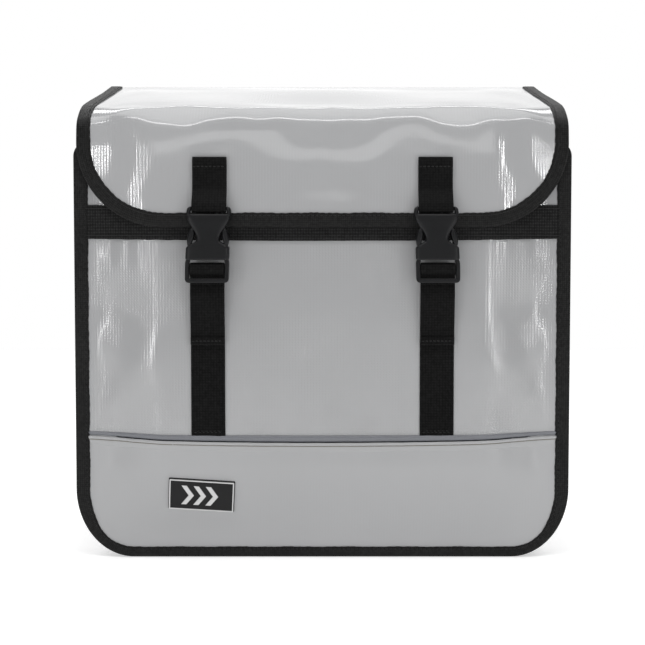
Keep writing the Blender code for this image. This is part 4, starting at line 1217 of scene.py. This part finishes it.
# %% The prongs
def prong(word, x, side):
    """A thin arm, then a pad whose outer side bulges and whose inner side follows the waist."""
    rise = np.linspace(0.3, 24.0, 64) * MM
    at = np.array([0, 6.0, 9.0, 10.6, 13.0, 16.0, 19.0, 21.5, 23.0, 24.0]) * MM
    outer = np.array([13.9, 14.0, 14.2, 14.9, 15.3, 15.2, 14.5, 13.3, 12.2, 11.2]) * MM
    inner = np.array([10.6, 10.9, 11.2, 11.4, 11.3, 10.2, 9.8, 9.9, 10.1, 10.4]) * MM
    out, into = smooth_curve(rise, at, outer), smooth_curve(rise, at, inner)
    deep = smooth_curve(rise, at, np.array([2.0, 2.0, 2.3, 3.3, 3.6, 3.7, 3.5, 3.0, 2.3, 1.4]) * MM)
    points, faces = loft((x, SOCKET_Y), SOCKET_LOW + rise, (out - into) / 2, deep,
                         side * (out + into) / 2, 3.2, 28)
    place = f"{word}_outer" if side * x > 0 else f"{word}_inner"
    make(f"clip_prong_{place}", leaning(points), faces, BUCKLE, "buckle_plastic", f"prong_{place}",
         [f"clip_prong_{place}"], sharp=50)


# %% Both buckles
for word, x in SIDES:
    socket(word, x)
    clip(word, x)
    for side in (-1, 1):
        prong(word, x, side)

# %% [markdown]
# ## The badge
# A soft rubber badge is sewn to the lower panel, a little out of true. It is a height field on the front
# surface: a plate with rounded edges, a raised rim and three raised chevrons, which are moulded in a paler
# rubber. A number kept at each point tells the finish how pale it is.

# %% The badge's finish
BADGE_X, BADGE_Z, BADGE_TILT = middle("badge", 0), middle("badge", 2), math.radians(-3.6)
BADGE_HALF, BADGE_TALL = 0.0246, 0.0123
BADGE_CORNER = 0.0012


def badge_finish():
    finish = Finish("badge_rubber", Specular_IOR_Level=0.22)
    pale = finish.node("Attribute", {"attribute_name": "pale"}).out("Fac")
    finish.colour((0.0085, 0.0085, 0.009), (0.62, 0.62, 0.62), pale)
    grain = finish.noise(1500.0, 2.0)
    finish.relief(grain * 0.00001)
    finish.feed("Roughness", grain * 0.1 + 0.42)
    return finish.material


# %% The badge's height field
def over(value, soft):
    """0 where the value is below nought and 1 where it is above soft, with a smooth step between."""
    return ease(value / soft)


a = np.linspace(-1, 1, 260)[None, :] * BADGE_HALF
b = np.linspace(-1, 1, 130)[:, None] * BADGE_TALL
# how far a point is inside the plate's outline: straight sides, and round corners by hypotenuse
inside_a = BADGE_HALF - BADGE_CORNER - np.abs(a)
inside_b = BADGE_TALL - BADGE_CORNER - np.abs(b)
outside = np.hypot(np.clip(-inside_a, 0, 1), np.clip(-inside_b, 0, 1))
from_edge = BADGE_CORNER - outside + np.minimum(np.clip(inside_a, 0, 1), np.clip(inside_b, 0, 1))
rim = over(from_edge - 0.0006, 0.0002) * over(0.00165 - from_edge, 0.0002)
chevrons = 0 * a + 0 * b
for centre in (-0.0105, -0.0015, 0.0075):
    way = a - centre + np.abs(b) * 0.75 - 0.003
    chevrons = np.maximum(chevrons, over(0.0021 - np.abs(way), 0.0003))
chevrons = chevrons * over(0.0075 - np.abs(b), 0.0003) * over(from_edge - 0.003, 0.0003)
pale = np.clip(rim + chevrons, 0, 1)
plate = 0.0016 * np.sqrt(np.clip(from_edge / 0.0007, 0, 1)) + 0.00035 * pale
plate[[0, -1]], plate[:, [0, -1]] = -0.0002, -0.0002

# %% The badge
tilt_x = BADGE_X + a * math.cos(BADGE_TILT) - b * math.sin(BADGE_TILT)
tilt_z = BADGE_Z + a * math.sin(BADGE_TILT) + b * math.cos(BADGE_TILT)
top = lifted(front_surface, tilt_x, tilt_z, SHEET / 2 + plate)
under = lifted(front_surface, tilt_x, tilt_z, SHEET / 2 + 0 * plate - 0.0003)
badge = make("badge", *closed_sheet(top, under), badge_finish(), "patch_rubber", "bag", ["badge"])
mark = badge.data.attributes.new("pale", "FLOAT", "POINT")
mark.data.foreach_set("value", np.concatenate([pale.ravel(), pale.ravel()]).astype(np.float32))

# %% [markdown]
# ## Rack fittings
# The rail, hooks, latches and claw are rigid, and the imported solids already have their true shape. They
# keep it and only take better finishes: brushed metal, zinc plate and grained plastic.

# %% Finishes for the rigid pieces
HOOK_PLASTIC = moulded("hook_plastic", (0.02, 0.02, 0.021), 0.45)
LATCH_PLASTIC = moulded("latch_plastic", (0.05, 0.05, 0.052), 0.42)
RIGID = {
    "hook_rail": ANODISED, "rail_screw": STEEL, "rail_nut": STEEL, "latch_pin": STEEL, "claw_screw": STEEL,
    "claw_nut": STEEL, "claw_arm": HOOK_PLASTIC, "claw_base": HOOK_PLASTIC, "hook_latch": LATCH_PLASTIC,
    "hook_left": HOOK_PLASTIC, "hook_right": HOOK_PLASTIC, "back_stiffener": BOARD, "base_board": BOARD,
}
for name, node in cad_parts.items():
    finish = next((f for start, f in RIGID.items() if name.startswith(start)), None)
    if finish:
        for slot in node.material_slots:
            slot.material = finish
        print(name, "takes", finish.name)

# %% [markdown]
# ## Floor, light and camera
# The bag stands on a plain pale floor in a pale room. A tall, narrow light at each side draws the bright
# upright lines on the glossy cloth. A broad one overhead and a wide one behind whiten the lid, and two
# long, narrow ones above brighten its creases. The soft ones in front keep the black edges readable.

# %% Floor
def plain_floor():
    finish = Finish("pale_floor", Roughness=0.9, Specular_IOR_Level=0.1)
    dust = finish.noise(3.0, 2.0)
    finish.colour((0.86, 0.86, 0.86), (0.88, 0.88, 0.88), dust)
    finish.shader.inputs["Emission Color"].default_value = (1, 1, 1, 1)
    finish.shader.inputs["Emission Strength"].default_value = 0.4
    side = np.array([-1.9, 1.9])
    a, b = np.meshgrid(side, side)
    mesh = bpy.data.meshes.new("floor")
    mesh.from_pydata(np.stack([a, b, 0 * a - 0.0001], -1).reshape(-1, 3), [], [(0, 1, 3, 2)])
    mesh.materials.append(finish.material)
    floor = bpy.data.objects.new("floor", mesh)
    bpy.context.scene.collection.objects.link(floor)


plain_floor()

# %% The room: white to the camera, dimmer where it lights the bag
ROOM_LIGHT = 0.22
scene = bpy.context.scene
scene.view_settings.view_transform = "Standard"
world = bpy.data.worlds.new("pale_room")
scene.world = world
world.use_nodes = True
tree = world.node_tree
room = tree.nodes["Background"]
room.inputs["Color"].default_value = (1, 1, 1, 1)
room.inputs["Strength"].default_value = ROOM_LIGHT
seen = tree.nodes.new("ShaderNodeBackground")
seen.inputs["Color"].default_value = (1, 1, 1, 1)
seen.inputs["Strength"].default_value = 1.0
mix = tree.nodes.new("ShaderNodeMixShader")
tree.links.new(tree.nodes.new("ShaderNodeLightPath").outputs["Is Camera Ray"], mix.inputs[0])
tree.links.new(room.outputs[0], mix.inputs[1])
tree.links.new(seen.outputs[0], mix.inputs[2])
tree.links.new(mix.outputs[0], tree.nodes["World Output"].inputs["Surface"])


# %% Lights
def area_light(name, place, target, size, power):
    """A rectangle light at a place, turned so that it shines at the target."""
    data = bpy.data.lights.new(name, "AREA")
    data.shape = "RECTANGLE"
    data.size, data.size_y = size
    data.energy = power
    light = bpy.data.objects.new(name, data)
    light.location = place
    aim = Vector(target) - Vector(place)
    light.rotation_euler = aim.to_track_quat("-Z", "Y").to_euler()
    scene.collection.objects.link(light)
    return light


for word, sign in (("left", -1), ("right", 1)):
    area_light(f"strip_{word}", (sign * 0.83, -1.08, 0.3), (sign * 0.145, -0.095, 0.26), (0.05, 0.5), 1.2)
    soft = area_light(f"fill_{word}", (sign * 1.9, -1.6, 0.9), (0, 0, 0.2), (1.0, 1.4), 0.7)
    soft.visible_glossy = False
area_light("overhead", (0, -0.2, 1.7), (0, -0.1, 0.3), (2.2, 1.9), 20)
area_light("behind", (0, 2.2, 1.05), (0, 0, 0.34), (3.2, 1.3), 12)
area_light("ridge", (0, 1.3, 1.7), (0, 0, 0.33), (2.6, 0.35), 11)
area_light("brow", (0, -0.75, 1.5), (0, -0.1, 0.3), (2.4, 0.14), 6)
area_light("front_high", (0, -1.9, 1.8), (0, -0.1, 0.3), (2.4, 0.8), 1.2)
area_light("front", (0, -2.6, 0.85), (0, -0.1, 0.3), (2.6, 0.3), 3.2)

# %% Camera
lens = bpy.data.cameras.new("camera")
lens.lens = 82.4
camera = bpy.data.objects.new("camera", lens)
camera.location = (0, -1.18, 0.2414)
camera.rotation_euler = (math.radians(86.6), 0, 0)
scene.collection.objects.link(camera)
scene.camera = camera
print("lights and camera placed")

# %% [markdown]
# ## The flap's place, and three sizes
# Three sizes are worked out and not kept: the lid's cloth with its part sewn behind, the upper panel's
# height, and twice the front's height plus its width. The flap's place is baked into its points.


float(flap_length(np.array(0.0))) + SEWN_BEHIND
FRONT_TOP - SEAM_Z
2 * FRONT_TOP + 2 * PANEL_HALF
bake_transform(flap_piece)
